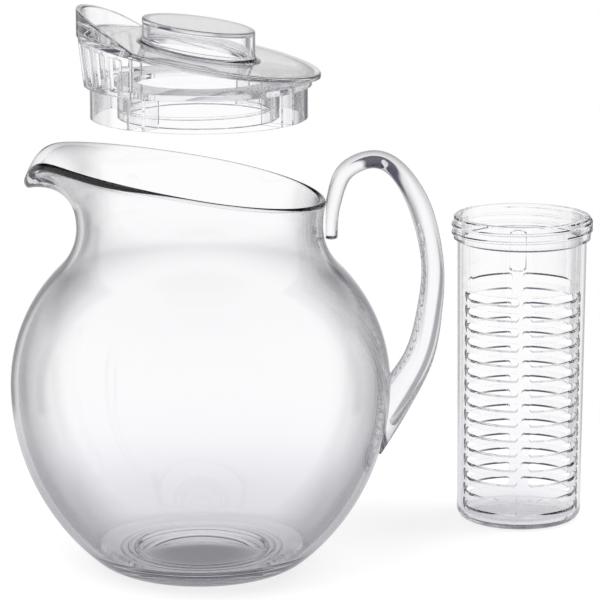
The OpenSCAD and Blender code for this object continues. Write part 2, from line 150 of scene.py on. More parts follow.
class LidSizes(bpy.types.PropertyGroup):
    flange_r: length("Flange", "Radius of the slanted plate", COVER_HIGH.x)
    skirt_low: length("Skirt end", "Height of the skirt's lower end as the lid is shown", COLLAR_LOW.z)
    shoulder_h: length("Shoulder", "Height of the ledge's underside as the lid is shown", COLLAR_HIGH.z)
    drum_r: length("Drum", "Radius of the drum under the plate", 54.4 * MM)
    drum_depth: length("Drum depth", "Depth of the drum at its shallow side", 4.2 * MM)
    wall: length("Wall", "Wall of the drum, the skirt and the strainer", 1.9 * MM)
    plate_t: length("Plate", "Thickness of the slanted plate", 2.4 * MM)
    slope: angle("Slope", "Slope of the plate, rising towards the spout", 10)
    ledge_t: length("Ledge", "Thickness of the ledge that closes the drum", 2.6 * MM)
    ledge_in_r: length("Ledge opening", "Radius of the opening in the ledge", 31 * MM)
    hood_h: length("Hood", "Height of the hood over the spout", 11 * MM)
    hood_t: length("Hood lip", "Thickness of the hood at its lip", 2.3 * MM)
    hood_root: length("Hood root", "Extra thickness of the hood at its root", 3.5 * MM)
    hood_crown: length("Hood crown", "Radius of the hood's upper edge, seen from the side", 130 * MM)
    hood_half: angle("Hood half angle", "Angle that the hood covers on each side of the spout", 60)
    window_half: angle("Window half angle", "Angle of the pour window on each side of the spout", 56)
    strainer_r: length("Strainer", "Outside radius of the pour strainer at its foot", 55.3 * MM)
    strainer_lean: length("Strainer lean", "How far the strainer leans out at its top", 2.8 * MM)
    strainer_rail: length("Strainer rail", "Height of the strainer's rails", 2.4 * MM)
    strainer_edge: angle("Strainer edge", "Angle of the solid end of the strainer", 4)
    strainer_slots: number("Strainer slots", "Number of slots in the pour strainer", 9)
    strainer_slot_w: length("Slot width", "Width of a strainer slot", 6.4 * MM)
    port_half: angle("Port half angle", "Angle of the port in the ledge on each side of the spout", 48)
    port_rail: length("Port rail", "Solid rim on each side of the port", 1.4 * MM)
    rib_pairs: number("Rib pairs", "Pairs of ribs between the skirt and the collar", 4)
    rib_gap: length("Rib gap", "Distance between the two ribs of a pair", 8.6 * MM)
    rib_t: length("Rib", "Thickness of a rib", 1.6 * MM)
    rib_turn: angle("Rib turn", "Where the first pair of ribs stands", -124)
    cup_r: length("Cup", "Outside radius of the grip cup", 27.15 * MM)
    cup_h: length("Cup height", "Height of the grip cup above the plate at the axis", 13.1 * MM)
    cup_wall: length("Cup wall", "Wall of the grip cup", 2.2 * MM)
    cup_top_t: length("Cup top", "Thickness of the grip cup's top", 2 * MM)
    cup_slope: angle("Cup slope", "Slope of the grip cup's top", 7.3)
    cup_foot: length("Cup foot", "Radius of the fillet round the grip cup's foot", 2.6 * MM)
    cup_lip: length("Foot lip", "Thickness of the foot's outer edge", 0.4 * MM)
    collar_r: length("Collar", "Outside radius of the threaded collar", COLLAR_HIGH.x)
    bore_r: length("Bore", "Radius of the collar's bore", 36.8 * MM)
    ridge_r: length("Collar ridge", "Inner radius of the collar's ridge", 35.3 * MM)
    ridge_turns: level("Collar turns", "Turns of the thread in the collar", 1.5)
    columns: number("Columns", "Points around the lid", 192)


class InfuserSizes(bpy.types.PropertyGroup):
    place_x: length("Place right", "Where the infuser stands, right of the jug", TUBE_MIDDLE.x)
    place_y: length("Place behind", "Where the infuser stands, behind the jug", TUBE_MIDDLE.y)
    height: length("Height", "Height of the infuser", TUBE_HIGH.z)
    tube_r: length("Tube", "Outside radius under the rim band", 33 * MM)
    low_r: length("Tube end", "Outside radius at the base", 31.8 * MM)
    wall: length("Wall", "Wall of the tube", 2 * MM)
    round: length("Lower edge", "Radius of the tube's lower edge", 5 * MM)
    base_t: length("Base", "Thickness of the base", 3 * MM)
    band_r: length("Band", "Radius of the rim band", 34.9 * MM)
    band_h: length("Band height", "Height of the rim band", 12 * MM)
    chamfer: length("Band chamfer", "Chamfer of the rim band", 0.6 * MM)
    slot_rows: number("Slot rows", "Rows of slots", 15)
    slot_pitch: length("Slot pitch", "Distance from one row to the next", 7.8 * MM)
    slot_h: length("Slot height", "Height of a slot", 3.6 * MM)
    slot_flare: share("Slot flare", "How much taller a slot is outside than inside", 0.35)
    slot_low: length("Lowest slot", "Height of the lowest slot above the table", 8.4 * MM)
    bar_w: length("Bar", "Width of the upright bar between two slots", 5.6 * MM)
    slot_end: length("Slot end", "Distance from the axis to a slot's outer end", 27.6 * MM)
    pad_w: length("Pad", "Width of the raised pad", 8.6 * MM)
    pad_proud: length("Pad rise", "How far the pad stands out", 0.9 * MM)
    ridge_h: length("Ridge", "Height of the thread's ridge", 1.1 * MM)
    ridge_w: length("Ridge width", "Width of the ridge at its root", 1.6 * MM)
    pitch: length("Thread pitch", "Climb of the thread in one turn", 4 * MM)
    turns: level("Thread turns", "Turns of the thread", 2.3)


class AcrylicFinish(bpy.types.PropertyGroup):
    pale: tint("Clear", "Colour of the clear acrylic", (0.998, 0.998, 1.0, 1.0))
    deep: tint("Flow marks", "Colour where the moulding flowed", (0.992, 0.992, 0.997, 1.0))
    depth: tint("Depth", "Colour of the light that passes through thick acrylic", (0.80, 0.80, 0.84, 1.0))
    density: level("Density", "How quickly thick acrylic greys the light, per metre", 15.0)
    # Painted shade: the colour that the acrylic takes where it is seen edge on.
    edge: tint("Edge", "Colour of the acrylic where it is seen edge on", (0.03, 0.029, 0.045, 1.0))
    index: level("Refraction", "Index of refraction of acrylic", 1.49)
    gloss: share("Polish", "Roughness of the polished surface", 0.012)
    scuff: share("Scuffs", "Extra roughness in fine wipe marks", 0.03)


class StageSettings(bpy.types.PropertyGroup):
    target: FloatVectorProperty(name="Target", description="Point that the camera looks at", size=3,
                                default=(0.0485, 0.0, 0.1331), unit="LENGTH", subtype="TRANSLATION")
    elevation: angle("Elevation", "How steeply the camera looks down", 12.3)
    distance: length("Distance", "From the target to the camera", 1.75)
    lens: level("Lens", "Focal length of the camera in millimetres", 216.0)
    floor_r: length("Floor", "Radius of the pale floor", 0.42)
    floor_tint: tint("Floor colour", "Colour of the pale floor", (0.86, 0.86, 0.87, 1.0))
    # Painted shade: the floor that the acrylic shows is tinted and darkened round the jug, under its foot
    # and under the infuser; the camera sees the floor without it.
    shade_tint: tint("Shade colour", "Colour of the floor as the glass shows it", (0.965, 0.96, 1.0, 1.0))
    jug_shade: share("Floor shade", "Brightness of the floor round the jug, as the glass shows it", 0.76)
    foot_shade: share("Foot shade", "Brightness of the floor under the jug, as the glass shows it", 0.35)
    tube_shade: share("Infuser shade", "Brightness of the floor under it, as the glass shows it", 0.9)
    jug_shade_r: length("Floor shade reach", "Radius of the shaded floor round the jug", 0.3)
    foot_shade_r: length("Foot shade reach", "Radius of the darker floor under the jug's foot", 0.05)
    tube_shade_r: length("Infuser shade reach", "Radius of the darker floor under the infuser", 0.055)
    wall_left: angle("Wall left", "Where the dark flag on the left begins, from straight behind", 11)
    wall_right: angle("Wall right", "Where the dark flag on the right begins, from straight behind", 3)
    soft_left: angle("Left edge", "Width of the soft edge on the left", 5)
    soft_right: angle("Right edge", "Width of the soft edge on the right", 17)
    flag_end: angle("Flag end", "Where the dark flags end on both sides", 24)
    side_from: angle("Side flag", "Where the narrow dark flags begin, from straight behind", 64)
    side_to: angle("Side flag end", "Where the narrow dark flags end", 73)
    flag_dark: share("Flag darkness", "How dark the flags are beside the rear ceiling", 0.6)
    flag_low: angle("Flag foot", "Lowest elevation of the dark flags", -16.5)
    wall_top: angle("Wall top", "Elevation of the white wall's upper edge", 8)
    soft_top: angle("Top edge", "Width of the soft edge above", 14)
    dark_tint: tint("Dark", "Colour of the dark flags and of the rear ceiling", (0.045, 0.043, 0.08, 1.0))
    front_dark: share("Front ceiling", "How dark the front ceiling is beside the rear one", 0.1)
    card_left: length("Card left", "Left edge of the dark card behind the handle", 0.055)
    card_right: length("Card right", "Right edge of the dark card behind the handle", 0.2)
    card_low: length("Card foot", "Lower edge of the dark card behind the handle", 0.166)
    card_high: length("Card top", "Upper edge of the dark card behind the handle", 0.27)
    card_step: length("Card step", "Where the card's top steps down on the right", 0.13)
    card_step_h: length("Card step height", "Height of the card right of its step", 0.212)
    card_back: length("Card place", "How far behind the jug the dark card stands", 0.25)
    card_soft: length("Card edge", "Width of the soft edge on the card's left and foot", 0.016)
    lamp_power: level("Lamp", "Power of the stronger soft lamp in watts", 60.0)


# Outlines

# Section of a screw ridge: shares of its half width and of its height.
RIDGE = ((-1.0, 0.0), (-0.78, 0.5), (-0.5, 0.92), (0.0, 1.0), (0.5, 0.92), (0.78, 0.5), (1.0, 0.0))
# Share of a turn over which a ridge runs out, and the share of its height at its very end.
RIDGE_RUN, RIDGE_END = 0.08, 0.05
# Slack at the ends of a ridge, as a share of its run.
NEARLY = 0.001
# The most of an outline's side that the easing of one corner may take.
MOST_EASED = 0.45


def spread(first, last, steps):
    """Even values from the first to the last, both included."""
    return [first + (last - first) * i / steps for i in range(steps + 1)]


def arc(x, z, radius, first, last, steps):
    """Points on a circle from one angle to another."""
    return [(x + radius * math.cos(a), z + radius * math.sin(a)) for a in spread(first, last, steps)]


def rounded(points, radii, steps=3):
    """An outline whose corners are eased, each by its own radius; the first and last follow each other."""
    eased = []
    for i, (x, z) in enumerate(points):
        ends = []
        for other in (points[i - 1], points[(i + 1) % len(points)]):
            dx, dz = other[0] - x, other[1] - z
            reach = math.hypot(dx, dz)
            cut = min(radii[i] / reach, MOST_EASED) if reach > WELD else 0.0
            ends.append((x + dx * cut, z + dz * cut))
        for t in spread(0.0, 1.0, steps):
            a, b, c = (1 - t) ** 2, 2 * t * (1 - t), t * t
            eased.append((a * ends[0][0] + b * x + c * ends[1][0], a * ends[0][1] + b * z + c * ends[1][1]))
    return eased


def turned(point, a):
    """A point of an outline, carried round the axis to angle a."""
    return (point[0] * math.cos(a), point[0] * math.sin(a), point[1])


def thread_rows(a, thread, bottom, top):
    """A wall with a screw ridge at angle a, from bottom to top. The rows follow the ridge round."""
    rows = [(thread.wall_r, bottom)]
    turns = int((top - thread.start) / thread.pitch) + 1
    for k in range(-1, turns):
        turn = a / TURN + k
        lead = min(turn, thread.turns - turn) / RIDGE_RUN
        grow = max(0.0, min(1.0, lead + RIDGE_END)) if lead > -NEARLY else 0.0
        middle = thread.start + thread.pitch * turn
        for across, proud in RIDGE:
            z = min(top, max(bottom, middle + across * thread.half_w))
            inside = bottom < z < top
            rows.append((thread.wall_r + thread.rise * proud * grow * inside, z))
    rows.append((thread.wall_r, top))
    return rows


# Meshes

def loft(columns, around=True, section=False):
    """Vertices and faces over columns of points, closed around and along the section as asked."""
    n = len(columns[0])
    vertices = [point for column in columns for point in column]
    faces = []
    for i in range(len(columns) if around else len(columns) - 1):
        j = (i + 1) % len(columns)
        for k in range(n if section else n - 1):
            m = (k + 1) % n
            faces.append((i * n + k, j * n + k, j * n + m, i * n + m))
    return vertices, faces


def pierced(across, up, is_open, place, around=False):
    """A wall of two sides over a grid of cells, with walls in the holes and at the free edges."""
    vertices, faces, known = [], [], {}

    def at(side, i, j):
        key = (side, i % across if around else i, j)
        if key not in known:
            known[key] = len(vertices)
            vertices.append(place(*key))
        return known[key]

    def solid(i, j):
        i = i % across if around else i
        return 0 <= i < across and 0 <= j < up and not is_open(i, j)

    for i in range(across):
        for j in range(up):
            if not solid(i, j):
                continue
            corners = ((i, j), (i + 1, j), (i + 1, j + 1), (i, j + 1))
            for side in (0, 1):
                faces.append(tuple(at(side, *c) for c in corners))
            beyond = ((i, j - 1), (i + 1, j), (i, j + 1), (i - 1, j))
            for k, cell in enumerate(beyond):
                if not solid(*cell):
                    first, last = corners[k], corners[(k + 1) % 4]
                    faces.append((at(0, *first), at(0, *last), at(1, *last), at(1, *first)))
    return vertices, faces


def add_object(name, data):
    """A new object in the scene."""
    made = bpy.data.objects.new(name, data)
    bpy.context.scene.collection.objects.link(made)
    return made


def smooth(mesh, sharp=SHARP_TURN):
    """Smooth shading between sharp edges."""
    mesh.shade_smooth()
    mesh.set_sharp_from_angle(angle=math.radians(sharp))


def make_form(name, vertices, faces, sharp=SHARP_TURN):
    """A closed object from points and faces, with smooth shading between sharp edges."""
    mesh = bpy.data.meshes.new(name)
    mesh.from_pydata(vertices, [], faces)
    form = bmesh.new()
    form.from_mesh(mesh)
    bmesh.ops.remove_doubles(form, verts=form.verts, dist=WELD)
    bmesh.ops.delete(form, geom=[e for e in form.edges if not e.link_faces], context="EDGES")
    bmesh.ops.recalc_face_normals(form, faces=form.faces)
    gaps = sum(1 for e in form.edges if len(e.link_faces) != 2)
    form.to_mesh(mesh)
    form.free()
    if gaps:
        raise RuntimeError(f"{name} is not closed: {gaps} edges")
    smooth(mesh, sharp)
    return add_object(name, mesh)


def combine(piece, tool, operation):
    """Join another form to a piece or cut it away, and drop the tool."""
    step = piece.modifiers.new(operation, "BOOLEAN")
    step.operation = operation
    step.solver = "EXACT"
    step.object = tool
    bpy.context.view_layer.update()
    shaped = bpy.data.meshes.new_from_object(piece.evaluated_get(bpy.context.evaluated_depsgraph_get()))
    piece.modifiers.clear()
    piece.data = shaped
    bpy.data.objects.remove(tool)


def ease_edges(piece, width, degrees=50):
    """Break the sharp edges of a piece and keep its flats flat."""
    bevel = piece.modifiers.new("Eased edges", "BEVEL")
    bevel.width = width
    bevel.segments = 2
    bevel.limit_method = "ANGLE"
    bevel.angle_limit = math.radians(degrees)
    bevel.miter_outer = "MITER_ARC"
    even_shading(piece)


def even_shading(piece):
    """Let the large faces of a piece set its shading."""
    piece.modifiers.new("Even shading", "WEIGHTED_NORMAL").keep_sharp = True


def finish_piece(piece, material, node, body):
    """Give a piece its material, tie it to the body and hide the node that it stands for."""
    piece.data.materials.clear()
    piece.data.materials.append(material)
    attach(piece, body)
    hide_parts(node)


# Materials

# How the painted edge shade grows: share of the turn from its start to edge on, and share of the full
# shade.
EDGE_SHADE_GROWTH = ((0.0, 0.0), (0.14, 0.10), (0.31, 0.32), (0.56, 0.58), (0.78, 0.84))


def feed(tree, value, socket):
    """Set a socket, or link it where the value is another node's output."""
    if isinstance(value, bpy.types.NodeSocket):
        tree.links.new(value, socket)
    else:
        socket.default_value = value


def add_node(tree, kind, sockets=None, **settings):
    """A node with its settings made and its sockets set or linked."""
    node = tree.nodes.new(kind)
    for name, value in settings.items():
        setattr(node, name, value)
    for name, value in (sockets or {}).items():
        feed(tree, value, node.inputs[name])
    return node


def bare_tree(owner):
    """The emptied node tree of a material or a world."""
    owner.use_nodes = True
    owner.node_tree.nodes.clear()
    return owner.node_tree


def moulded_group():
    """Shared effect of moulded acrylic: faint flow marks, wipe marks and waviness."""
    name = "Moulded acrylic"
    if name in bpy.data.node_groups:
        return bpy.data.node_groups[name]
    tree = bpy.data.node_groups.new(name, "ShaderNodeTree")
    colour, value = "NodeSocketColor", "NodeSocketFloat"
    inputs = {"Clear": colour, "Flow marks": colour, "Polish": value, "Scuffs": value, "Flow scale": value}
    outputs = {"Colour": colour, "Roughness": value, "Height": value}
    for way, sockets in (("INPUT", inputs), ("OUTPUT", outputs)):
        for label, kind in sockets.items():
            tree.interface.new_socket(name=label, in_out=way, socket_type=kind)
    entry = add_node(tree, "NodeGroupInput").outputs
    place = add_node(tree, "ShaderNodeTexCoord").outputs["Object"]
    flow = add_node(tree, "ShaderNodeTexNoise", {
        "Vector": place, "Scale": entry["Flow scale"], "Detail": 2.0})
    blend = add_node(tree, "ShaderNodeMix", data_type="RGBA", sockets={
        "Factor": flow.outputs["Fac"], "A": entry["Clear"], "B": entry["Flow marks"]})
    stretch = add_node(tree, "ShaderNodeMapping", {"Vector": place, "Scale": (1.0, 1.0, 0.12)})
    wipe = add_node(tree, "ShaderNodeTexNoise", {
        "Vector": stretch.outputs["Vector"], "Scale": 260.0, "Detail": 4.0})
    marks = add_node(tree, "ShaderNodeMapRange", {
        "Value": wipe.outputs["Fac"], "From Min": 0.52, "From Max": 0.72})
    rough = add_node(tree, "ShaderNodeMath", operation="MULTIPLY_ADD", sockets={
        0: marks.outputs["Result"], 1: entry["Scuffs"], 2: entry["Polish"]})
    add_node(tree, "NodeGroupOutput", {
        "Colour": blend.outputs["Result"], "Roughness": rough.outputs["Value"],
        "Height": flow.outputs["Fac"]})
    return tree


def acrylic(name, flow_scale, wave, edge_shade_share, edge_shade_from):
    """Clear acrylic with the shared moulding marks at its own scale, and painted shade that greys it where
    it is seen edge on.
    """
    if name in bpy.data.materials:
        return bpy.data.materials[name]
    finish = bpy.context.scene.acrylic_finish
    material = bpy.data.materials.new(name)
    tree = bare_tree(material)
    marks = add_node(tree, "ShaderNodeGroup", node_tree=moulded_group(), sockets={
        "Clear": finish.pale, "Flow marks": finish.deep, "Polish": finish.gloss, "Scuffs": finish.scuff,
        "Flow scale": flow_scale})
    # Painted shade: the colour goes towards the finish's edge colour as the surface turns edge on.
    facing = add_node(tree, "ShaderNodeLayerWeight", {"Blend": 0.5})
    edge_shade_curve = add_node(tree, "ShaderNodeFloatCurve", {"Value": facing.outputs["Facing"]})
    curve = edge_shade_curve.mapping.curves[0]
    for turn, grey in EDGE_SHADE_GROWTH:
        curve.points.new(edge_shade_from + (1.0 - edge_shade_from) * turn, grey * edge_shade_share)
    curve.points[-1].location = (1.0, edge_shade_share)
    edge_shade_curve.mapping.update()
    edge_shaded = add_node(tree, "ShaderNodeMix", data_type="RGBA", sockets={
        "Factor": edge_shade_curve.outputs["Value"], "A": marks.outputs["Colour"], "B": finish.edge})
    bump = add_node(tree, "ShaderNodeBump", {
        "Strength": 1.0, "Distance": wave, "Height": marks.outputs["Height"]})
    shader = add_node(tree, "ShaderNodeBsdfPrincipled", {
        "Base Color": edge_shaded.outputs["Result"], "Roughness": marks.outputs["Roughness"],
        "Normal": bump.outputs["Normal"], "Transmission Weight": 1.0, "IOR": finish.index})
    depth = add_node(tree, "ShaderNodeVolumeAbsorption", {"Color": finish.depth, "Density": finish.density})
    add_node(tree, "ShaderNodeOutputMaterial", {
        "Surface": shader.outputs["BSDF"], "Volume": depth.outputs["Volume"]})
    return material


# The acrylics below differ in flow scale, waviness and how much painted edge shade they take, and from how
# far edge on.
def jug_acrylic():
    return acrylic("Jug acrylic", flow_scale=24.0, wave=0.06 * MM, edge_shade_share=1.0, edge_shade_from=0.28)


# The jug's acrylic with hardly any painted edge shade, for the base's flat faces.
def base_acrylic():
    return acrylic("Base acrylic", flow_scale=24.0, wave=0.06 * MM, edge_shade_share=0.05, edge_shade_from=0.31)


def handle_acrylic():
    return acrylic("Handle acrylic", flow_scale=24.0, wave=0.04 * MM, edge_shade_share=1.0, edge_shade_from=0.06)


def lid_acrylic():
    return acrylic("Lid acrylic", flow_scale=60.0, wave=0.02 * MM, edge_shade_share=1.0, edge_shade_from=0.6)


def ring_acrylic():
    return acrylic("Lid ring acrylic", flow_scale=60.0, wave=0.02 * MM, edge_shade_share=1.0, edge_shade_from=0.34)


def infuser_acrylic():
    return acrylic("Infuser acrylic", flow_scale=60.0, wave=0.02 * MM, edge_shade_share=0.4, edge_shade_from=0.36)


# Jug

# Faces of the floor and the foot are the base's: the least upright share of their normals.
BASE_FLAT = 0.93
# How late the spout's nose thickens along the mouth's wall.
NOSE_POWER = 4
# Where the moulding rings of the floor run, and their half width, as shares of the floor's radius.
FLOOR_RINGS, RING_HALF = (0.92, 0.84, 0.76), 0.022
# Width of the eased step round the foot's hollow, as a share of the step's depth.
STEP_EASE = 1.2


def globe_form(jug):
    """Centres, radii and angles of the arcs that make the jug's outline."""
    form = SimpleNamespace(mid=jug.globe_mid_h, heel=jug.heel_round, wall=jug.wall, neck_h=jug.neck_h)
    form.globe_r = jug.globe_d / 2
    form.foot_r = jug.foot_d / 2
    form.neck_r = jug.neck_d / 2
    form.neck_round = jug.neck_round
    neck_rise = jug.neck_h - form.mid
    heel_x = form.globe_r - form.heel
    heel_rise = form.mid - form.heel
    form.low_x = (heel_x ** 2 - form.foot_r ** 2 - heel_rise ** 2) / (2 * (heel_x - form.foot_r))
    form.low_r = form.globe_r - form.low_x
    form.throat_x = form.neck_r + form.neck_round
    reach = form.globe_r + form.neck_round
    form.high_x = (reach ** 2 - form.throat_x ** 2 - neck_rise ** 2) / (2 * (form.globe_r - form.neck_r))
    form.high_r = form.globe_r - form.high_x
    form.throat_angle = math.atan2(neck_rise, form.throat_x - form.high_x)
    form.heel_angle = math.atan2(-heel_rise, form.foot_r - form.low_x)
    floor_low_r = form.low_r - form.wall - jug.floor_round
    floor_drop = form.mid - jug.base_t - jug.floor_round
    form.floor_x = form.low_x + math.sqrt(floor_low_r ** 2 - floor_drop ** 2)
    form.floor_z = jug.base_t + jug.floor_round
    form.floor_angle = math.atan2(-floor_drop, form.floor_x - form.low_x)
    form.mouth_mid_r = (jug.mouth_d - form.wall) / 2
    form.neck_mid_r = (jug.neck_d - form.wall) / 2
    form.spout_mid_r = jug.spout_reach - form.wall / 2
    form.rim_rise = math.tan(jug.rim_slope)
    form.rim_mid_z = jug.rim_h - form.wall / 2 + form.mouth_mid_r * form.rim_rise
    return form


def globe_radius(form, z):
    """Outside radius of the jug below its neck, at height z."""
    if z > form.mid + form.high_r * math.sin(form.throat_angle):
        return form.throat_x - math.sqrt(form.neck_round ** 2 - (form.neck_h - z) ** 2)
    if z > form.mid:
        return form.high_x + math.sqrt(form.high_r ** 2 - (z - form.mid) ** 2)
    if z > form.mid + form.low_r * math.sin(form.heel_angle):
        return form.low_x + math.sqrt(form.low_r ** 2 - (form.mid - z) ** 2)
    return form.foot_r + math.sqrt(form.heel ** 2 - (form.heel - z) ** 2)


def mouth_section(jug, form, a, rows=26, lip_rows=10):
    """The mouth's wall at angle a: up the outside, round the lip and down the inside."""
    cos_a, sin_a = math.cos(a), math.sin(a)
    rim_r = form.mouth_mid_r
    if cos_a < 0:
        oval = math.hypot(form.mouth_mid_r * cos_a, form.spout_mid_r * sin_a)
        rim_r = form.spout_mid_r * form.mouth_mid_r / oval
    droop = jug.spout_droop * math.exp(-((a - HALF_TURN) / jug.droop_spread) ** 2)
    rim_z = form.rim_mid_z - rim_r * cos_a * form.rim_rise - droop
    low, bend, half = form.neck_h, rim_z - jug.lip_run, form.wall / 2
    lines = []
    for t in spread(0.0, 1.0, rows):
        x = form.neck_mid_r + (rim_r - form.neck_mid_r) * t * t
        z = low + 2 * t * (1 - t) * (bend - low) + t * t * (rim_z - low)
        way = Vector(((rim_r - form.neck_mid_r) * t, (1 - t) * (bend - low) + t * (rim_z - bend)))
        lines.append((x, z, way.normalized()))
    nose = jug.nose_t * math.exp(-((a - HALF_TURN) / jug.nose_spread) ** 2)
    outside = []
    for i, (x, z, way) in enumerate(lines):
        thick = half + nose * (i / rows) ** NOSE_POWER
        outside.append((x + thick * way.y, z - thick * way.x))
    inside = [(p[0] - half * p[2].y, p[1] + half * p[2].x) for p in reversed(lines)]
    lip = []
    x, z, way = lines[-1]
    for q in spread(0.0, HALF_TURN, lip_rows)[1:-1]:
        out = math.cos(q) * (half + nose / 2) + nose / 2
        up = math.sin(q) * (half + nose / 4)
        lip.append((x + out * way.y + up * way.x, z - out * way.x + up * way.y))
    return outside + lip + inside


def jug_floor(jug, form):
    """The floor inside, from its edge to the axis: slightly domed, with fine moulding rings."""
    shares = {1.0 - f for f in spread(0.04, 1.0, 12)}
    for ring in FLOOR_RINGS:
        shares.update(ring + RING_HALF * f for f in spread(-1.0, 1.0, 8))
    points = []
    for f in sorted(shares, reverse=True):
        z = jug.base_t + jug.floor_dome * (1 - f * f) ** 2
        for ring in FLOOR_RINGS:
            across = min(1.0, abs(f - ring) / RING_HALF)
            z += jug.floor_ring * 0.5 * (1 + math.cos(HALF_TURN * across))
        points.append((max(0.0, form.floor_x * f), z))
    return points


class PITCHER_OT_jug(bpy.types.Operator):
    """Turn the globe with its thick base and draw the neck out into the slanted mouth and spout"""
    bl_idname = "pitcher.jug"
    bl_label = "Jug"

    def execute(self, context):
        jug = context.scene.jug_sizes
        form = globe_form(jug)
        hollow_r, edge = jug.hollow_d / 2, jug.hollow_edge
        under = [(hollow_r * f, edge + jug.hollow_dome * (1 - f * f)) for f in spread(0.0, 1.0, 16)]
        ease = edge * STEP_EASE
        under += [(hollow_r + ease * t, edge * (1 - t * t * (3 - 2 * t))) for t in spread(0.0, 1.0, 6)[1:]]
        below = under + arc(form.foot_r, form.heel, form.heel, -QUARTER, form.heel_angle, 12)
        below += arc(form.low_x, form.mid, form.low_r, form.heel_angle, 0.0, 36)[1:]
        below += arc(form.high_x, form.mid, form.high_r, 0.0, form.throat_angle, 32)[1:]
        neck_angle = HALF_TURN + form.throat_angle
        below += arc(form.throat_x, form.neck_h, form.neck_round, neck_angle, HALF_TURN, 16)[1:-1]
        wall = form.wall
        inside = arc(form.throat_x, form.neck_h, form.neck_round + wall, HALF_TURN, neck_angle, 16)[1:]
        inside += arc(form.high_x, form.mid, form.high_r - wall, form.throat_angle, 0.0, 32)[1:]
        inside += arc(form.low_x, form.mid, form.low_r - wall, 0.0, form.floor_angle, 32)[1:]
        inside += arc(form.floor_x, form.floor_z, jug.floor_round, form.floor_angle, -QUARTER, 18)[1:]
        inside += jug_floor(jug, form)
        columns = []
        for i in range(jug.columns):
            a = TURN * i / jug.columns
            columns.append([turned(p, a) for p in below + mouth_section(jug, form, a) + inside])
        piece = make_form("Jug", *loft(columns), sharp=60)
        finish_piece(piece, jug_acrylic(), "pitcher_body", "pitcher")
        # The base's flat faces take the acrylic with hardly any painted edge shade.
        piece.data.materials.append(base_acrylic())
        for face in piece.data.polygons:
            if face.center.z < jug.floor_round and abs(face.normal.z) > BASE_FLAT:
                face.material_index = 1
        return {"FINISHED"}


# Handle

# Points of the bow, in millimetres in from its outermost line and down from the top of the arch.
BOW_POINTS = ((17, 5.6), (6, 24), (0, 50), (1.1, 74), (6.4, 98))
# How many points of the handle's line lie along the rim, and the point where its foot begins.
RIM_POINTS, FOOT_POINT = 3, 8.0
# Share of a step along the line by which its direction is taken, and the halvings that find the globe.
WAY_STEP, HALVINGS = 0.02, 40
# Rings of the two ends: shares from the tail's middle to its outline, and from the foot's outline to its
# middle.
TAIL_RINGS, FOOT_RINGS = (0.0, 0.5), (0.2, 0.4, 0.6, 0.8, 1.0)


def curve_at(values, i, u):
    """Smooth curve through a list of values, at share u between values i and i + 1."""
    last = len(values) - 1
    a, b, c, d = (values[min(max(k, 0), last)] for k in (i - 1, i, i + 1, i + 2))
    square, cube = 2 * a - 5 * b + 4 * c - d, 3 * b - a - 3 * c + d
    return 0.5 * (2 * b + (c - a) * u + square * u ** 2 + cube * u ** 3)


def handle_line(jug, handle, form):
    """Points of the handle's middle line from its free end to its foot, and its thickness at each."""
    tail_x = jug.mouth_d / 2 - 0.6 * MM + handle.tail_t / 2
    bow_x = form.globe_r + handle.gap + handle.bow_t / 2
    arch_z = jug.rim_h + handle.rise - handle.arch_t / 2
    arch_x = tail_x + 0.4 * (bow_x - tail_x)
    foot_x = form.globe_r - 1 * MM
    points = [(tail_x - 1.2 * MM, jug.rim_h - handle.tail), (tail_x, jug.rim_h - 4 * MM),
              (tail_x + 5.8 * MM, arch_z - 6.4 * MM), (arch_x, arch_z)]
    for inward, down in BOW_POINTS:
        points.append((bow_x - inward * MM, arch_z - down * MM))
    points += [(foot_x + 1.2 * MM, handle.foot_h), (foot_x - 10.8 * MM, handle.foot_h - 20 * MM)]
    thick = [handle.tail_t] * 2 + [handle.arch_t] * 2 + [handle.arch_t + 0.6 * MM] + [handle.bow_t] * 2
    thick += [handle.bow_t + 1.4 * MM, handle.bow_t + 3.6 * MM] + [handle.foot_t + 2 * MM] * 2
    return [Vector(p) for p in points], thick


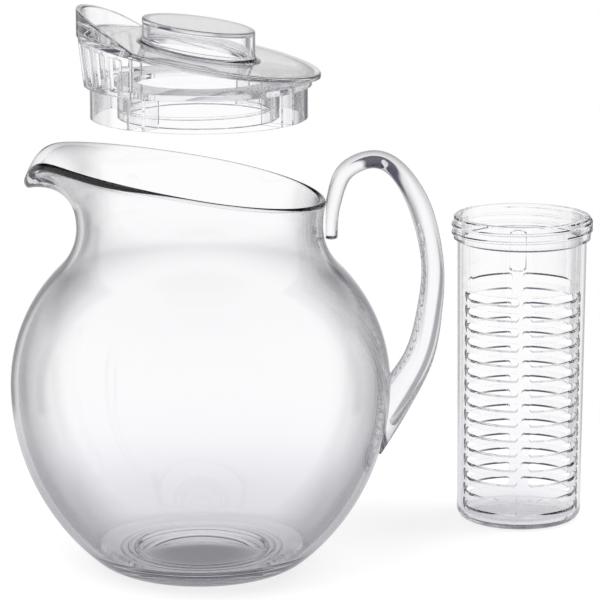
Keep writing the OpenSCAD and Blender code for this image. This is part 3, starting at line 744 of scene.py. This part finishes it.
class PITCHER_OT_handle(bpy.types.Operator):
    """Sweep the strap handle from its free end at the rim over the arch to its foot on the globe"""
    bl_idname = "pitcher.handle"
    bl_label = "Handle"

    def execute(self, context):
        jug, handle = context.scene.jug_sizes, context.scene.handle_sizes
        form = globe_form(jug)
        points, thick = handle_line(jug, handle, form)
        last = len(points) - 1
        tail_span = (points[1] - points[0]).length
        rim_r = jug.mouth_d / 2 + BOND

        def skin(s, q, inset=0.0):
            i = min(int(s), last - 1)
            u = s - i
            middle = curve_at(points, i, u)
            way = (curve_at(points, i, u + WAY_STEP) - curve_at(points, i, u - WAY_STEP)).normalized()
            half_t = curve_at(thick, i, u) / 2 - inset
            half_w = (handle.tail_w + (handle.foot_w - handle.tail_w) * s / last) / 2 - inset
            x = middle.x + way.y * math.cos(q) * half_t
            z = middle.y - way.x * math.cos(q) * half_t
            y = -math.sin(q) * half_w
            if s < RIM_POINTS:
                x = max(x, math.sqrt(rim_r ** 2 - y ** 2))
            return Vector((x, y, z))

        def inside_globe(p):
            return math.hypot(p.x, p.y) < globe_radius(form, p.z) + BOND

        def on_globe(p):
            grow = (globe_radius(form, p.z) + BOND) / math.hypot(p.x, p.y)
            return Vector((p.x * grow, p.y * grow, p.z))

        columns, r = [], handle.end_round
        for k in range(handle.sides):
            q = TURN * k / handle.sides
            outer, inner = FOOT_POINT, float(last)
            for step in range(HALVINGS):
                middle = (outer + inner) / 2
                if inside_globe(skin(middle, q)):
                    inner = middle
                else:
                    outer = middle
            line = []
            for turn in spread(0.0, QUARTER, 5):
                line.append(skin(r * (1 - math.cos(turn)) / tail_span, q, r * (1 - math.sin(turn))))
            line += [skin(s, q) for s in spread(r / tail_span, FOOT_POINT, 150)[1:]]
            line += [skin(s, q) for s in spread(FOOT_POINT, outer, 30)[1:]]
            columns.append(line)
        tail_mid = sum((c[0] for c in columns), Vector()) / len(columns)
        foot_mid = on_globe(sum((c[-1] for c in columns), Vector()) / len(columns))
        for line in columns:
            line[:0] = [tail_mid.lerp(line[0], f) for f in TAIL_RINGS]
            line += [on_globe(line[-1].lerp(foot_mid, f)) for f in FOOT_RINGS]
        piece = make_form("Handle", *loft(columns), sharp=50)
        finish_piece(piece, handle_acrylic(), "pitcher_handle", "pitcher")
        return {"FINISHED"}


# Lid

# Radii of the corners of the cover's section in millimetres, from the hole over the hood and back.
COVER_ROUNDS = (0.3, 1.5, 1.0, 1.0, 0.6, 0.8, 0.4, 0.4, 0.8, 0.3)
# Tries that settle where the leaning hood meets the plate and its crown.
SETTLE_TRIES = 4
# Angle between the last column of the drum and the first one of the window.
WINDOW_STEP = 1e-6


def lid_form(lid):
    """Heights of the lid's plate, cup and hood as the lid is shown."""
    form = SimpleNamespace(rise=math.tan(lid.slope))
    form.seat_h = lid.shoulder_h + lid.drum_depth + lid.drum_r * form.rise
    form.plate_top = form.seat_h + lid.plate_t / math.cos(lid.slope)
    form.hole_r = lid.cup_r - lid.cup_wall
    form.skirt_r = lid.drum_r - lid.wall - BOND
    end_x = -lid.flange_r * math.cos(lid.hood_half)
    end = Vector((end_x, form.plate_top - end_x * form.rise))
    form.hood_high = form.plate_top + lid.flange_r * form.rise + lid.hood_h
    tip = Vector((-lid.flange_r, form.hood_high))
    chord = end - tip
    way = chord.normalized()
    drop = math.sqrt(lid.hood_crown ** 2 - (chord.length / 2) ** 2)
    form.crown = (end + tip) / 2 + drop * Vector((way.y, -way.x))
    return form


def slanted(h, rise, r, a):
    """Height of a plane through the axis at h, at radius r and angle a, rising towards the spout."""
    return h - r * math.cos(a) * rise


def cover_section(lid, form, a, has_drum):
    """Section of the lid's cover at angle a: the plate, the hood on it and the drum under it."""
    def top(r):
        return slanted(form.plate_top, form.rise, r, a)

    def under(r):
        return slanted(form.seat_h, form.rise, r, a)

    def crown(r):
        x = r * math.cos(a) - form.crown.x
        return form.crown.y + math.sqrt(max(0.0, lid.hood_crown ** 2 - x * x))

    def lean(z):
        height = form.hood_high - form.plate_top
        return lid.flange_r - lid.hood_t - lid.hood_root * (form.hood_high - z) / height

    in_hood = abs(a - HALF_TURN) < lid.hood_half
    root_r = lean(form.plate_top)
    for step in range(SETTLE_TRIES):
        root_r = lean(top(root_r))
    lip_r, lip_z = root_r, top(root_r)
    tip_z = top(lid.flange_r)
    if in_hood:
        for step in range(SETTLE_TRIES):
            lip_z = max(crown(lip_r), top(lip_r))
            lip_r = lean(lip_z)
        tip_z = max(crown(lid.flange_r), tip_z)
    inner_r = lid.drum_r - lid.wall
    low_out = lid.shoulder_h if has_drum else under(lid.drum_r)
    low_in = lid.shoulder_h if has_drum else under(inner_r)
    points = [(form.hole_r, top(form.hole_r)), (root_r, top(root_r)), (lip_r, lip_z), (lid.flange_r, tip_z),
              (lid.flange_r, under(lid.flange_r)), (lid.drum_r, under(lid.drum_r)), (lid.drum_r, low_out),
              (inner_r, low_in), (inner_r, under(inner_r)), (form.hole_r, under(form.hole_r))]
    return rounded(points, [r * MM for r in COVER_ROUNDS])


class PITCHER_OT_cover(bpy.types.Operator):
    """Form the lid's slanted plate with the hood over the spout and the drum below"""
    bl_idname = "pitcher.cover"
    bl_label = "Lid cover"

    def execute(self, context):
        lid = context.scene.lid_sizes
        form = lid_form(lid)
        places = [(TURN * i / lid.columns, None) for i in range(lid.columns)]
        for side in (-1, 1):
            places.append((HALF_TURN + side * lid.hood_half, None))
            places.append((HALF_TURN + side * lid.window_half, True))
            places.append((HALF_TURN + side * (lid.window_half - WINDOW_STEP), False))
        columns = []
        for a, has_drum in sorted(places):
            if has_drum is None:
                has_drum = abs(a - HALF_TURN) > lid.window_half
            columns.append([turned(p, a) for p in cover_section(lid, form, a, has_drum)])
        piece = make_form("Lid_cover", *loft(columns, section=True))
        even_shading(piece)
        finish_piece(piece, lid_acrylic(), "lid_cover", "lid")
        return {"FINISHED"}


class PITCHER_OT_grip_cup(bpy.types.Operator):
    """Form the closed grip cup with its slanted top and foot flange"""
    bl_idname = "pitcher.grip_cup"
    bl_label = "Grip cup"

    def execute(self, context):
        lid = context.scene.lid_sizes
        form = lid_form(lid)
        cup_rise = math.tan(lid.cup_slope)
        cup_top = form.plate_top + lid.cup_h
        foot_r = lid.cup_r + lid.cup_foot
        columns = []
        for i in range(lid.columns):
            a = TURN * i / lid.columns

            def on_plate(r, lift):
                return (r, slanted(form.plate_top + lift, form.rise, r, a))

            def on_top(r, drop):
                return (r, slanted(cup_top - drop, cup_rise, r, a))

            fillet = []
            for q in spread(QUARTER, 0.0, 6):
                lift = lid.cup_lip + lid.cup_foot * (1 - math.cos(q))
                fillet.append(on_plate(foot_r - lid.cup_foot * math.sin(q), lift))
            points = [on_top(0.0, 0.0), on_top(lid.cup_r, 0.0), *fillet]
            points += [on_plate(foot_r, BOND), on_plate(form.hole_r, BOND)]
            points += [on_top(form.hole_r, lid.cup_top_t), on_top(0.0, lid.cup_top_t)]
            radii = [0.0, 1.0 * MM] + [0.0] * len(fillet) + [0.1 * MM, 0.3 * MM, 0.8 * MM, 0.0]
            columns.append([turned(p, a) for p in rounded(points, radii)])
        piece = make_form("Grip_cup", *loft(columns))
        even_shading(piece)
        finish_piece(piece, lid_acrylic(), "lid_grip_cup", "lid")
        return {"FINISHED"}


class PITCHER_OT_strainer(bpy.types.Operator):
    """Form the curved pour strainer with its upright slots under the hood"""
    bl_idname = "pitcher.strainer"
    bl_label = "Pour strainer"

    def execute(self, context):
        lid = context.scene.lid_sizes
        form = lid_form(lid)
        radii = (lid.strainer_r, lid.drum_r - lid.wall + BOND)
        half = lid.window_half - BOND / lid.drum_r
        step = 2 * (lid.window_half - lid.strainer_edge) / lid.strainer_slots
        slot_half = math.asin(lid.strainer_slot_w / 2 / lid.strainer_r)
        edges, open_cells = [-half], set()
        for k in range(lid.strainer_slots):
            middle = (k - (lid.strainer_slots - 1) / 2) * step
            edges += spread(edges[-1], middle - slot_half, 2)[1:]
            open_cells.update(range(len(edges) - 1, len(edges) + 2))
            edges += spread(middle - slot_half, middle + slot_half, 3)[1:]
        edges += spread(edges[-1], half, 2)[1:]

        def place(side, i, j):
            a = HALF_TURN + edges[i]
            lean = lid.strainer_lean * (1 - (edges[i] / half) ** 2)
            top = slanted(form.seat_h - BOND, form.rise, radii[side] + lean, a)
            z = (lid.shoulder_h, lid.shoulder_h + lid.strainer_rail, top - lid.strainer_rail, top)[j]
            return turned((radii[side] + lean * (z - lid.shoulder_h) / (top - lid.shoulder_h), z), a)

        def is_open(i, j):
            return j == 1 and i in open_cells

        piece = make_form("Pour_strainer", *pierced(len(edges) - 1, 3, is_open, place))
        ease_edges(piece, 0.3 * MM)
        finish_piece(piece, ring_acrylic(), "pour_strainer", "lid")
        return {"FINISHED"}


def ring_form(name, outline, columns):
    """A closed ring with the same section all round."""
    return make_form(name, *loft([[turned(p, TURN * i / columns) for p in outline] for i in range(columns)],
                                 section=True))


class PITCHER_OT_base_ring(bpy.types.Operator):
    """Form the ledge and skirt, join the pairs of ribs and cut the port under the strainer"""
    bl_idname = "pitcher.base_ring"
    bl_label = "Lid base ring"

    def execute(self, context):
        lid = context.scene.lid_sizes
        form = lid_form(lid)
        skirt_in = form.skirt_r - lid.wall
        top = lid.shoulder_h + lid.ledge_t
        outline = [(lid.ledge_in_r, top), (form.skirt_r, top), (form.skirt_r, lid.skirt_low),
                   (skirt_in, lid.skirt_low), (skirt_in, lid.shoulder_h), (lid.ledge_in_r, lid.shoulder_h)]
        piece = ring_form("Lid_base_ring", outline, lid.columns)
        port_in, port_out = lid.collar_r + lid.port_rail, skirt_in - lid.port_rail
        below, above = lid.shoulder_h - MM, top + MM
        section = [(port_in, below), (port_out, below), (port_out, above), (port_in, above)]
        columns = [[turned(p, HALF_TURN + a) for p in section]
                   for a in spread(-lid.port_half, lid.port_half, 48)]
        vertices, faces = loft(columns, around=False, section=True)
        faces += [tuple(range(4)), tuple(range(len(vertices) - 4, len(vertices)))]
        combine(piece, make_form("Port", vertices, faces), "DIFFERENCE")
        rib_in, rib_out = lid.collar_r + BOND, form.skirt_r - lid.wall / 2
        for i in range(lid.rib_pairs):
            a = lid.rib_turn + TURN * i / lid.rib_pairs
            cos_a, sin_a = math.cos(a), math.sin(a)
            for side in (-1, 1):
                corners = []
                for z in (lid.skirt_low, lid.shoulder_h + lid.ledge_t / 2):
                    for r, t in ((rib_in, -1), (rib_out, -1), (rib_out, 1), (rib_in, 1)):
                        y = side * lid.rib_gap / 2 + t * lid.rib_t / 2
                        corners.append((r * cos_a - y * sin_a, r * sin_a + y * cos_a, z))
                faces = [(0, 1, 2, 3), (4, 5, 6, 7)]
                faces += [(k, (k + 1) % 4, (k + 1) % 4 + 4, k + 4) for k in range(4)]
                combine(piece, make_form("Rib", corners, faces), "UNION")
        smooth(piece.data)
        ease_edges(piece, 0.25 * MM)
        finish_piece(piece, ring_acrylic(), "lid_base_ring", "lid")
        return {"FINISHED"}


class PITCHER_OT_collar(bpy.types.Operator):
    """Form the threaded collar that takes the infuser's rim"""
    bl_idname = "pitcher.collar"
    bl_label = "Infuser collar"

    def execute(self, context):
        lid, tube = context.scene.lid_sizes, context.scene.infuser_sizes
        ease = 0.35 * MM
        low, high = lid.skirt_low, lid.shoulder_h - BOND
        thread = SimpleNamespace(wall_r=lid.bore_r, rise=lid.ridge_r - lid.bore_r, pitch=tube.pitch,
                                 turns=lid.ridge_turns, start=low + tube.pitch / 2, half_w=tube.ridge_w / 2)
        columns = []
        for a in spread(0.0, TURN, lid.columns):
            outside = [(lid.bore_r + ease, low), (lid.collar_r - ease, low), (lid.collar_r, low + ease),
                       (lid.collar_r, high - ease), (lid.collar_r - ease, high), (lid.bore_r + ease, high)]
            inside = thread_rows(a, thread, low + ease, high - ease)
            columns.append([turned(p, a) for p in outside + inside[::-1]])
        piece = make_form("Infuser_collar", *loft(columns, around=False, section=True))
        even_shading(piece)
        finish_piece(piece, ring_acrylic(), "infuser_collar", "lid")
        return {"FINISHED"}


# Infuser

# Rings of the base between its middle and its round, as shares.
BASE_RINGS = (0.0, 0.4, 0.75)
# Rounded ends of the pad: millimetres from its end, and the share of its width there.
PAD_ENDS = ((0.0, 0.0), (0.5, 0.55), (1.0, 0.8), (1.9, 1.0))


def tube_columns(tube):
    """Columns round the infuser: distance from the bar, share of the plain side, slot height, quarter."""
    r = tube.slot_h / 2
    start, end = tube.bar_w / 2, tube.slot_end
    turns = spread(0.0, QUARTER, 6)
    quarter = [(0.0, None, 0.0), (start / 2, None, 0.0)]
    quarter += [(start + r * (1 - math.cos(q)), None, r * math.sin(q)) for q in turns]
    quarter += [(x, None, r) for x in spread(start + r, end - r, 8)[1:-1]]
    quarter += [(end - r * (1 - math.cos(q)), None, r * math.sin(q)) for q in reversed(turns)]
    quarter += [(end, f, 0.0) for f in spread(0.0, 1.0, 9)[1:]]
    columns = []
    for sx, sy, back in ((1, 1, False), (1, -1, True), (-1, -1, False), (-1, 1, True)):
        part = quarter[:0:-1] if back else quarter[:-1]
        columns += [column + (sx, sy) for column in part]
    return columns


def column_angle(column, r, slot_end):
    """Angle of a column on a ring of radius r, with slots cut straight through."""
    x, plain = column[0], column[1]
    if plain is None:
        return math.acos(x / r)
    return math.acos(slot_end / r) * (1 - plain)


class PITCHER_OT_infuser(bpy.types.Operator):
    """Form the slotted infuser with its closed base, raised pad and threaded rim"""
    bl_idname = "pitcher.infuser"
    bl_label = "Infuser"

    def execute(self, context):
        tube = context.scene.infuser_sizes
        columns = tube_columns(tube)
        in_low_r, in_round = tube.low_r - tube.wall, tube.round - tube.wall
        rim_in_r = tube.tube_r - tube.wall
        band_low = tube.height - tube.band_h
        band_foot = band_low - tube.chamfer
        in_low = tube.base_t + in_round

        def outer_r(z):
            return tube.low_r + (tube.tube_r - tube.low_r) * (z - tube.round) / (band_foot - tube.round)

        def inner_r(z):
            return in_low_r + (rim_in_r - in_low_r) * (z - in_low) / (tube.height - in_low)

        half = tube.slot_h / 2
        slot_mid = tube.slot_low + half
        zone_low = slot_mid - tube.slot_pitch / 2
        zone_high = slot_mid + (tube.slot_rows - 1) * tube.slot_pitch + half + 0.6 * MM
        low_ref, high_ref = (outer_r(zone_low), inner_r(zone_low)), (outer_r(zone_high), inner_r(zone_high))

        # A row has an outer and an inner point, the radii that set its angles away from the slots, and the
        # side on which it bounds a slot or its share of the pad's width.
        rows = []
        under = [(f * (tube.low_r - tube.round), 0.0) for f in BASE_RINGS]
        under += arc(tube.low_r - tube.round, tube.round, tube.round, -QUARTER, 0.0, 8)
        floor = [(f * (in_low_r - in_round), tube.base_t) for f in BASE_RINGS]
        floor += arc(in_low_r - in_round, in_low, in_round, -QUARTER, 0.0, 8)
        for out, into in zip(under, floor):
            rows.append((out, into, low_ref, 0))
        slot_cells = set()
        rows.append((zone_low, zone_low, None, 0))
        for k in range(tube.slot_rows):
            middle = slot_mid + k * tube.slot_pitch
            rows.append((middle, middle, None, -1))
            slot_cells.add(len(rows) - 1)
            rows.append((middle, middle, None, 1))
            top = middle + tube.slot_pitch / 2 if k < tube.slot_rows - 1 else zone_high
            rows.append((top, top, None, 0))
        pad_low, pad_high = zone_high + 0.3 * MM, band_low - 2 * MM
        pad_rows = {}
        for inset, wide in PAD_ENDS:
            pad_rows[pad_low + inset * MM] = wide
            pad_rows[pad_high - inset * MM] = wide
        pad_rows[(pad_low + pad_high) / 2] = 1.0
        for z in sorted(pad_rows):
            rows.append(((outer_r(z), z), (inner_r(z), z), high_ref, pad_rows[z]))
        rows.append(((tube.tube_r, band_foot), (inner_r(band_foot), band_foot), high_ref, 0))
        thread = SimpleNamespace(wall_r=tube.band_r, rise=tube.ridge_h, pitch=tube.pitch, turns=tube.turns,
                                 start=band_low + tube.pitch / 2 - tube.chamfer, half_w=tube.ridge_w / 2)
        thread_low, thread_high = band_low + tube.chamfer, tube.height - tube.chamfer
        thread_first = len(rows)
        thread_count = len(thread_rows(0.0, thread, thread_low, thread_high))
        for z in spread(thread_low, thread_high, thread_count - 1):
            rows.append((None, (inner_r(z), z), high_ref, 0))
        rim_z = tube.height
        rows.append(((tube.band_r - tube.chamfer, rim_z), (rim_in_r + 0.3 * MM, rim_z), high_ref, 0))

        def place(side, i, j):
            column = columns[i]
            point, ref, edge = rows[j][side], rows[j][2], rows[j][3]
            if ref is None:
                z = point + edge * column[2] * (1 + tube.slot_flare * (1 - side))
                r = (outer_r, inner_r)[side](z)
                a = column_angle(column, r, tube.slot_end)
            else:
                a = column_angle(column, ref[side], tube.slot_end)
                if point is None:
                    around = math.atan2(column[4] * math.sin(a), column[3] * math.cos(a)) % TURN
                    point = thread_rows(around, thread, thread_low, thread_high)[j - thread_first]
                r, z = point
                on_pad = column[4] > 0 and column[1] is None and column[0] <= edge * tube.pad_w / 2
                if side == 0 and edge and on_pad:
                    r += tube.pad_proud
            x, y = column[3] * r * math.cos(a), column[4] * r * math.sin(a)
            return (tube.place_x + x, tube.place_y + y, z)

        def is_open(i, j):
            return j in slot_cells and max(columns[i][2], columns[(i + 1) % len(columns)][2]) > 0

        piece = make_form("Infuser", *pierced(len(columns), len(rows) - 1, is_open, place, around=True))
        ease_edges(piece, 0.2 * MM)
        finish_piece(piece, infuser_acrylic(), "infuser_tube", "infuser")
        return {"FINISHED"}


# Stage

WHITE = (1.0, 1.0, 1.0, 1.0)
# The floor lies this far under the foot. Its mesh has rings at these shares of its radius.
FLOOR_DROP = 0.3 * MM
FLOOR_SHARES = (1.0, 0.5, 0.2, 0.0)
FLOOR_SIDES = 160
# Where the floor's shadow begins to fade round the jug, the share of the floor where it ends, and the share
# of plain white that stays in it.
SHADOW_FROM, SHADOW_END, SHADOW_WHITE = 0.1, 0.95, 0.8
# Radii at which the floor's painted shades begin to fade, as the glass shows them.
JUG_SHADE_FROM, FOOT_SHADE_FROM, TUBE_SHADE_FROM = 0.06, 0.012, 0.02
# Where the floor begins to clear for the glass, and the share of the floor where it is clear.
CLEAR_FROM, CLEAR_END = 0.12, 0.97
# Soft edge of the narrow side flags and of the foot of all flags.
FLAG_EDGE = math.radians(2)
# How far back or forward a direction points where the ceiling's halves begin and where they are whole.
CEILING_FROM, CEILING_WHOLE = 0.15, 0.5
# Name, place and share of the lamp power of each soft lamp.
LAMPS = (("Key lamp", (-0.9, -0.9, 1.8), 1.0), ("Fill lamp", (1.2, 0.4, 1.7), 0.7))
LAMP_SIZE = 1.6


def figure(tree, operation, first, second=0.0):
    """The result of a sum, a product or the like."""
    return add_node(tree, "ShaderNodeMath", {0: first, 1: second}, operation=operation).outputs["Value"]


def ramp(tree, value, start, end, low=0.0, high=1.0):
    """A figure that goes smoothly from low to high as the value goes from start to end."""
    sockets = {"Value": value, "From Min": start, "From Max": end, "To Min": low, "To Max": high}
    return add_node(tree, "ShaderNodeMapRange", sockets, interpolation_type="SMOOTHSTEP").outputs["Result"]


def mixed(tree, share_of_last, first, last):
    """A shader between two others."""
    return add_node(tree, "ShaderNodeMixShader", {0: share_of_last, 1: first, 2: last}).outputs["Shader"]


def mixed_colour(tree, share_of_last, first, last):
    """A colour between two others."""
    sockets = {"Factor": share_of_last, "A": first, "B": last}
    return add_node(tree, "ShaderNodeMix", sockets, data_type="RGBA").outputs["Result"]


def floor_material(stage):
    """Pale floor that keeps a soft shadow round the object and fades to the white backdrop, with painted
    shade round the jug and the infuser that only the acrylic shows.
    """
    material = bpy.data.materials.new("Pale floor")
    tree = bare_tree(material)
    rays = add_node(tree, "ShaderNodeLightPath").outputs
    place = add_node(tree, "ShaderNodeNewGeometry").outputs["Position"]

    def fade(middle, near, far, first, last):
        away = add_node(tree, "ShaderNodeVectorMath", {0: place, 1: middle}, operation="DISTANCE")
        return ramp(tree, away.outputs["Value"], near, far, first, last)

    def pick(ray, plain, chosen):
        sockets = {"Factor": rays[ray], "A": plain, "B": chosen}
        return add_node(tree, "ShaderNodeMix", sockets, data_type="FLOAT").outputs["Result"]

    # Painted shade on the floor, which only rays through or off the acrylic see: darker round the jug,
    # under its foot and under the infuser.
    jug_spot, tube_spot = (0.0, 0.0, 0.0), (TUBE_MIDDLE.x, TUBE_MIDDLE.y, 0.0)
    shade = fade(jug_spot, JUG_SHADE_FROM, stage.jug_shade_r, stage.jug_shade, 1.0)
    for spot, near, far, least in ((jug_spot, FOOT_SHADE_FROM, stage.foot_shade_r, stage.foot_shade),
                                   (tube_spot, TUBE_SHADE_FROM, stage.tube_shade_r, stage.tube_shade)):
        shade = figure(tree, "MULTIPLY", shade, fade(spot, near, far, least, 1.0))
    pale = add_node(tree, "ShaderNodeBsdfDiffuse", {"Color": stage.floor_tint})
    # For the camera this glow is plain white; for the acrylic it carries the painted shade and the shade
    # colour.
    white = add_node(tree, "ShaderNodeEmission", {
        "Color": mixed_colour(tree, rays["Is Camera Ray"], stage.shade_tint, WHITE),
        "Strength": pick("Is Camera Ray", shade, 1.0)})
    shadow = fade(jug_spot, SHADOW_FROM, SHADOW_END * stage.floor_r, SHADOW_WHITE, 1.0)
    lit, gone = pick("Is Camera Ray", 0.0, shadow), 0.0
    for ray in ("Is Glossy Ray", "Is Transmission Ray"):
        lit = pick(ray, lit, 1.0)
        gone = pick(ray, gone, fade(jug_spot, CLEAR_FROM, CLEAR_END * stage.floor_r, 0.0, 1.0))
    floor = mixed(tree, lit, pale.outputs["BSDF"], white.outputs["Emission"])
    clear = add_node(tree, "ShaderNodeBsdfTransparent").outputs["BSDF"]
    add_node(tree, "ShaderNodeOutputMaterial", {"Surface": mixed(tree, gone, floor, clear)})
    return material


def pale_floor(stage):
    """A round floor just under the object's foot."""
    section = [(stage.floor_r * f, -FLOOR_DROP) for f in FLOOR_SHARES]
    columns = [[turned(p, TURN * i / FLOOR_SIDES) for p in section] for i in range(FLOOR_SIDES)]
    vertices, faces = loft(columns)
    mesh = bpy.data.meshes.new("Floor")
    mesh.from_pydata(vertices, [], faces)
    mesh.materials.append(floor_material(stage))
    floor = add_object("Floor", mesh)


def studio_world(stage):
    """White all round, with dark flags and a dark rear ceiling that the camera doesn't see."""
    world = bpy.data.worlds.new("Studio")
    bpy.context.scene.world = world
    tree = bare_tree(world)
    count, rise = partial(figure, tree), partial(ramp, tree)

    def within(value, start, end, edge):
        ended = rise(value, end, end + edge)
        return count("MULTIPLY", rise(value, start, start + edge), count("SUBTRACT", 1.0, ended))

    place = add_node(tree, "ShaderNodeTexCoord").outputs["Generated"]
    split = add_node(tree, "ShaderNodeSeparateXYZ", {0: place}).outputs
    beside = count("ARCTAN2", split["X"], split["Y"])
    aside = count("ABSOLUTE", beside)
    height = count("ARCSINE", split["Z"])
    right = rise(beside, stage.wall_right, stage.wall_right + stage.soft_right)
    left = rise(beside, -stage.wall_left, -stage.wall_left - stage.soft_left)
    ended = rise(aside, stage.flag_end, stage.flag_end + stage.soft_left)
    flags = count("MULTIPLY", count("MAXIMUM", left, right), count("SUBTRACT", 1.0, ended))
    flags = count("MAXIMUM", flags, within(aside, stage.side_from, stage.side_to, FLAG_EDGE))
    flags = count("MULTIPLY", flags, rise(height, stage.flag_low, stage.flag_low + FLAG_EDGE))
    front = count("MULTIPLY", rise(split["Y"], -CEILING_FROM, -CEILING_WHOLE), stage.front_dark)
    halves = count("MAXIMUM", rise(split["Y"], CEILING_FROM, CEILING_WHOLE), front)
    ceiling = count("MULTIPLY", rise(height, stage.wall_top, stage.wall_top + stage.soft_top), halves)
    dark = count("MAXIMUM", count("MULTIPLY", flags, stage.flag_dark), ceiling)
    hidden = count("SUBTRACT", 1.0, add_node(tree, "ShaderNodeLightPath").outputs["Is Camera Ray"])
    colour = mixed_colour(tree, count("MULTIPLY", dark, hidden), WHITE, stage.dark_tint)
    backdrop = add_node(tree, "ShaderNodeBackground", {"Color": colour})
    add_node(tree, "ShaderNodeOutputWorld", {"Surface": backdrop.outputs["Background"]})


def card_material(stage):
    """Plain dark, soft along the card's left edge and foot."""
    material = bpy.data.materials.new("Dark_card")
    tree = bare_tree(material)
    place = add_node(tree, "ShaderNodeNewGeometry").outputs["Position"]
    split = add_node(tree, "ShaderNodeSeparateXYZ", {0: place}).outputs
    from_left = ramp(tree, split["X"], stage.card_left, stage.card_left + stage.card_soft)
    from_foot = ramp(tree, split["Z"], stage.card_low, stage.card_low + stage.card_soft)
    dark = add_node(tree, "ShaderNodeEmission", {"Color": stage.dark_tint}).outputs["Emission"]
    clear = add_node(tree, "ShaderNodeBsdfTransparent").outputs["BSDF"]
    tone = mixed(tree, figure(tree, "MULTIPLY", from_left, from_foot), clear, dark)
    add_node(tree, "ShaderNodeOutputMaterial", {"Surface": tone})
    return material


# Painted shade: this dark sheet is met only by light through the acrylic, and shows as dark streaks in the
# handle's arch.
def dark_card(stage):
    """A dark card behind the handle, which only the light through the acrylic meets."""
    low, vertices, faces = stage.card_low, [], []
    for first, last, high in ((stage.card_left, stage.card_step, stage.card_high),
                              (stage.card_step, stage.card_right, stage.card_step_h)):
        faces.append(tuple(range(len(vertices), len(vertices) + 4)))
        for x, z in ((first, low), (last, low), (last, high), (first, high)):
            vertices.append((x, stage.card_back, z))
    mesh = bpy.data.meshes.new("Dark_card")
    mesh.from_pydata(vertices, [], faces)
    mesh.materials.append(card_material(stage))
    card = add_object("Dark_card", mesh)
    card.visible_camera = False
    card.visible_diffuse = False
    card.visible_glossy = False
    card.visible_shadow = False


def soft_lamps(stage, target):
    """Large lamps that the acrylic doesn't mirror."""
    for name, place, part in LAMPS:
        data = bpy.data.lights.new(name, "AREA")
        data.shape = "DISK"
        data.size = LAMP_SIZE
        data.energy = stage.lamp_power * part
        lamp = add_object(name, data)
        lamp.location = place
        lamp.rotation_euler = (target - Vector(place)).to_track_quat("-Z", "Y").to_euler()
        lamp.visible_glossy = False
        lamp.visible_transmission = False


def set_camera(stage, target):
    """The camera at the viewing angle of the front view."""
    data = bpy.data.cameras.new("Camera")
    data.lens = stage.lens
    data.sensor_width = 36.0
    camera = add_object("Camera", data)
    back = Vector((0.0, -math.cos(stage.elevation), math.sin(stage.elevation)))
    camera.location = target + back * stage.distance
    camera.rotation_euler = (-back).to_track_quat("-Z", "Y").to_euler()
    bpy.context.scene.camera = camera


class PITCHER_OT_stage(bpy.types.Operator):
    """Set the pale floor, the white backdrop, the soft lamps and the camera"""
    bl_idname = "pitcher.stage"
    bl_label = "Stage"

    def execute(self, context):
        scene, stage = context.scene, context.scene.stage_settings
        target = Vector(stage.target)
        pale_floor(stage)
        dark_card(stage)
        studio_world(stage)
        soft_lamps(stage, target)
        set_camera(stage, target)
        scene.view_settings.view_transform = "Standard"
        scene.cycles.max_bounces = 32
        scene.cycles.transmission_bounces = 32
        scene.cycles.glossy_bounces = 12
        return {"FINISHED"}


# Panel and registration

OPERATORS = (PITCHER_OT_stage, PITCHER_OT_jug, PITCHER_OT_handle, PITCHER_OT_cover, PITCHER_OT_grip_cup,
             PITCHER_OT_strainer, PITCHER_OT_base_ring, PITCHER_OT_collar, PITCHER_OT_infuser)
SETTINGS = {"jug_sizes": JugSizes, "handle_sizes": HandleSizes, "lid_sizes": LidSizes,
            "infuser_sizes": InfuserSizes, "acrylic_finish": AcrylicFinish, "stage_settings": StageSettings}


class PITCHER_PT_panel(bpy.types.Panel):
    """Lists the pieces of the pitcher and their sizes"""
    bl_idname = "PITCHER_PT_panel"
    bl_label = "Fruit infusion pitcher"
    bl_space_type = "VIEW_3D"
    bl_region_type = "UI"
    bl_category = "Pitcher"

    def draw(self, context):
        for operator in OPERATORS:
            self.layout.operator(operator.bl_idname)
        for name, group in SETTINGS.items():
            box = self.layout.box()
            for key in group.__annotations__:
                box.prop(getattr(context.scene, name), key)


CLASSES = tuple(SETTINGS.values()) + OPERATORS + (PITCHER_PT_panel,)


def register():
    for item in CLASSES:
        bpy.utils.register_class(item)
    for name, group in SETTINGS.items():
        setattr(bpy.types.Scene, name, PointerProperty(type=group))


def unregister():
    for name in SETTINGS:
        delattr(bpy.types.Scene, name)
    for item in reversed(CLASSES):
        bpy.utils.unregister_class(item)


def main():
    register()
    bpy.ops.pitcher.stage()
    bpy.ops.pitcher.jug()
    bpy.ops.pitcher.handle()
    bpy.ops.pitcher.cover()
    bpy.ops.pitcher.grip_cup()
    bpy.ops.pitcher.strainer()
    bpy.ops.pitcher.base_ring()
    bpy.ops.pitcher.collar()
    bpy.ops.pitcher.infuser()
    bpy.context.view_layer.update()


if __name__ == "__main__":
    main()
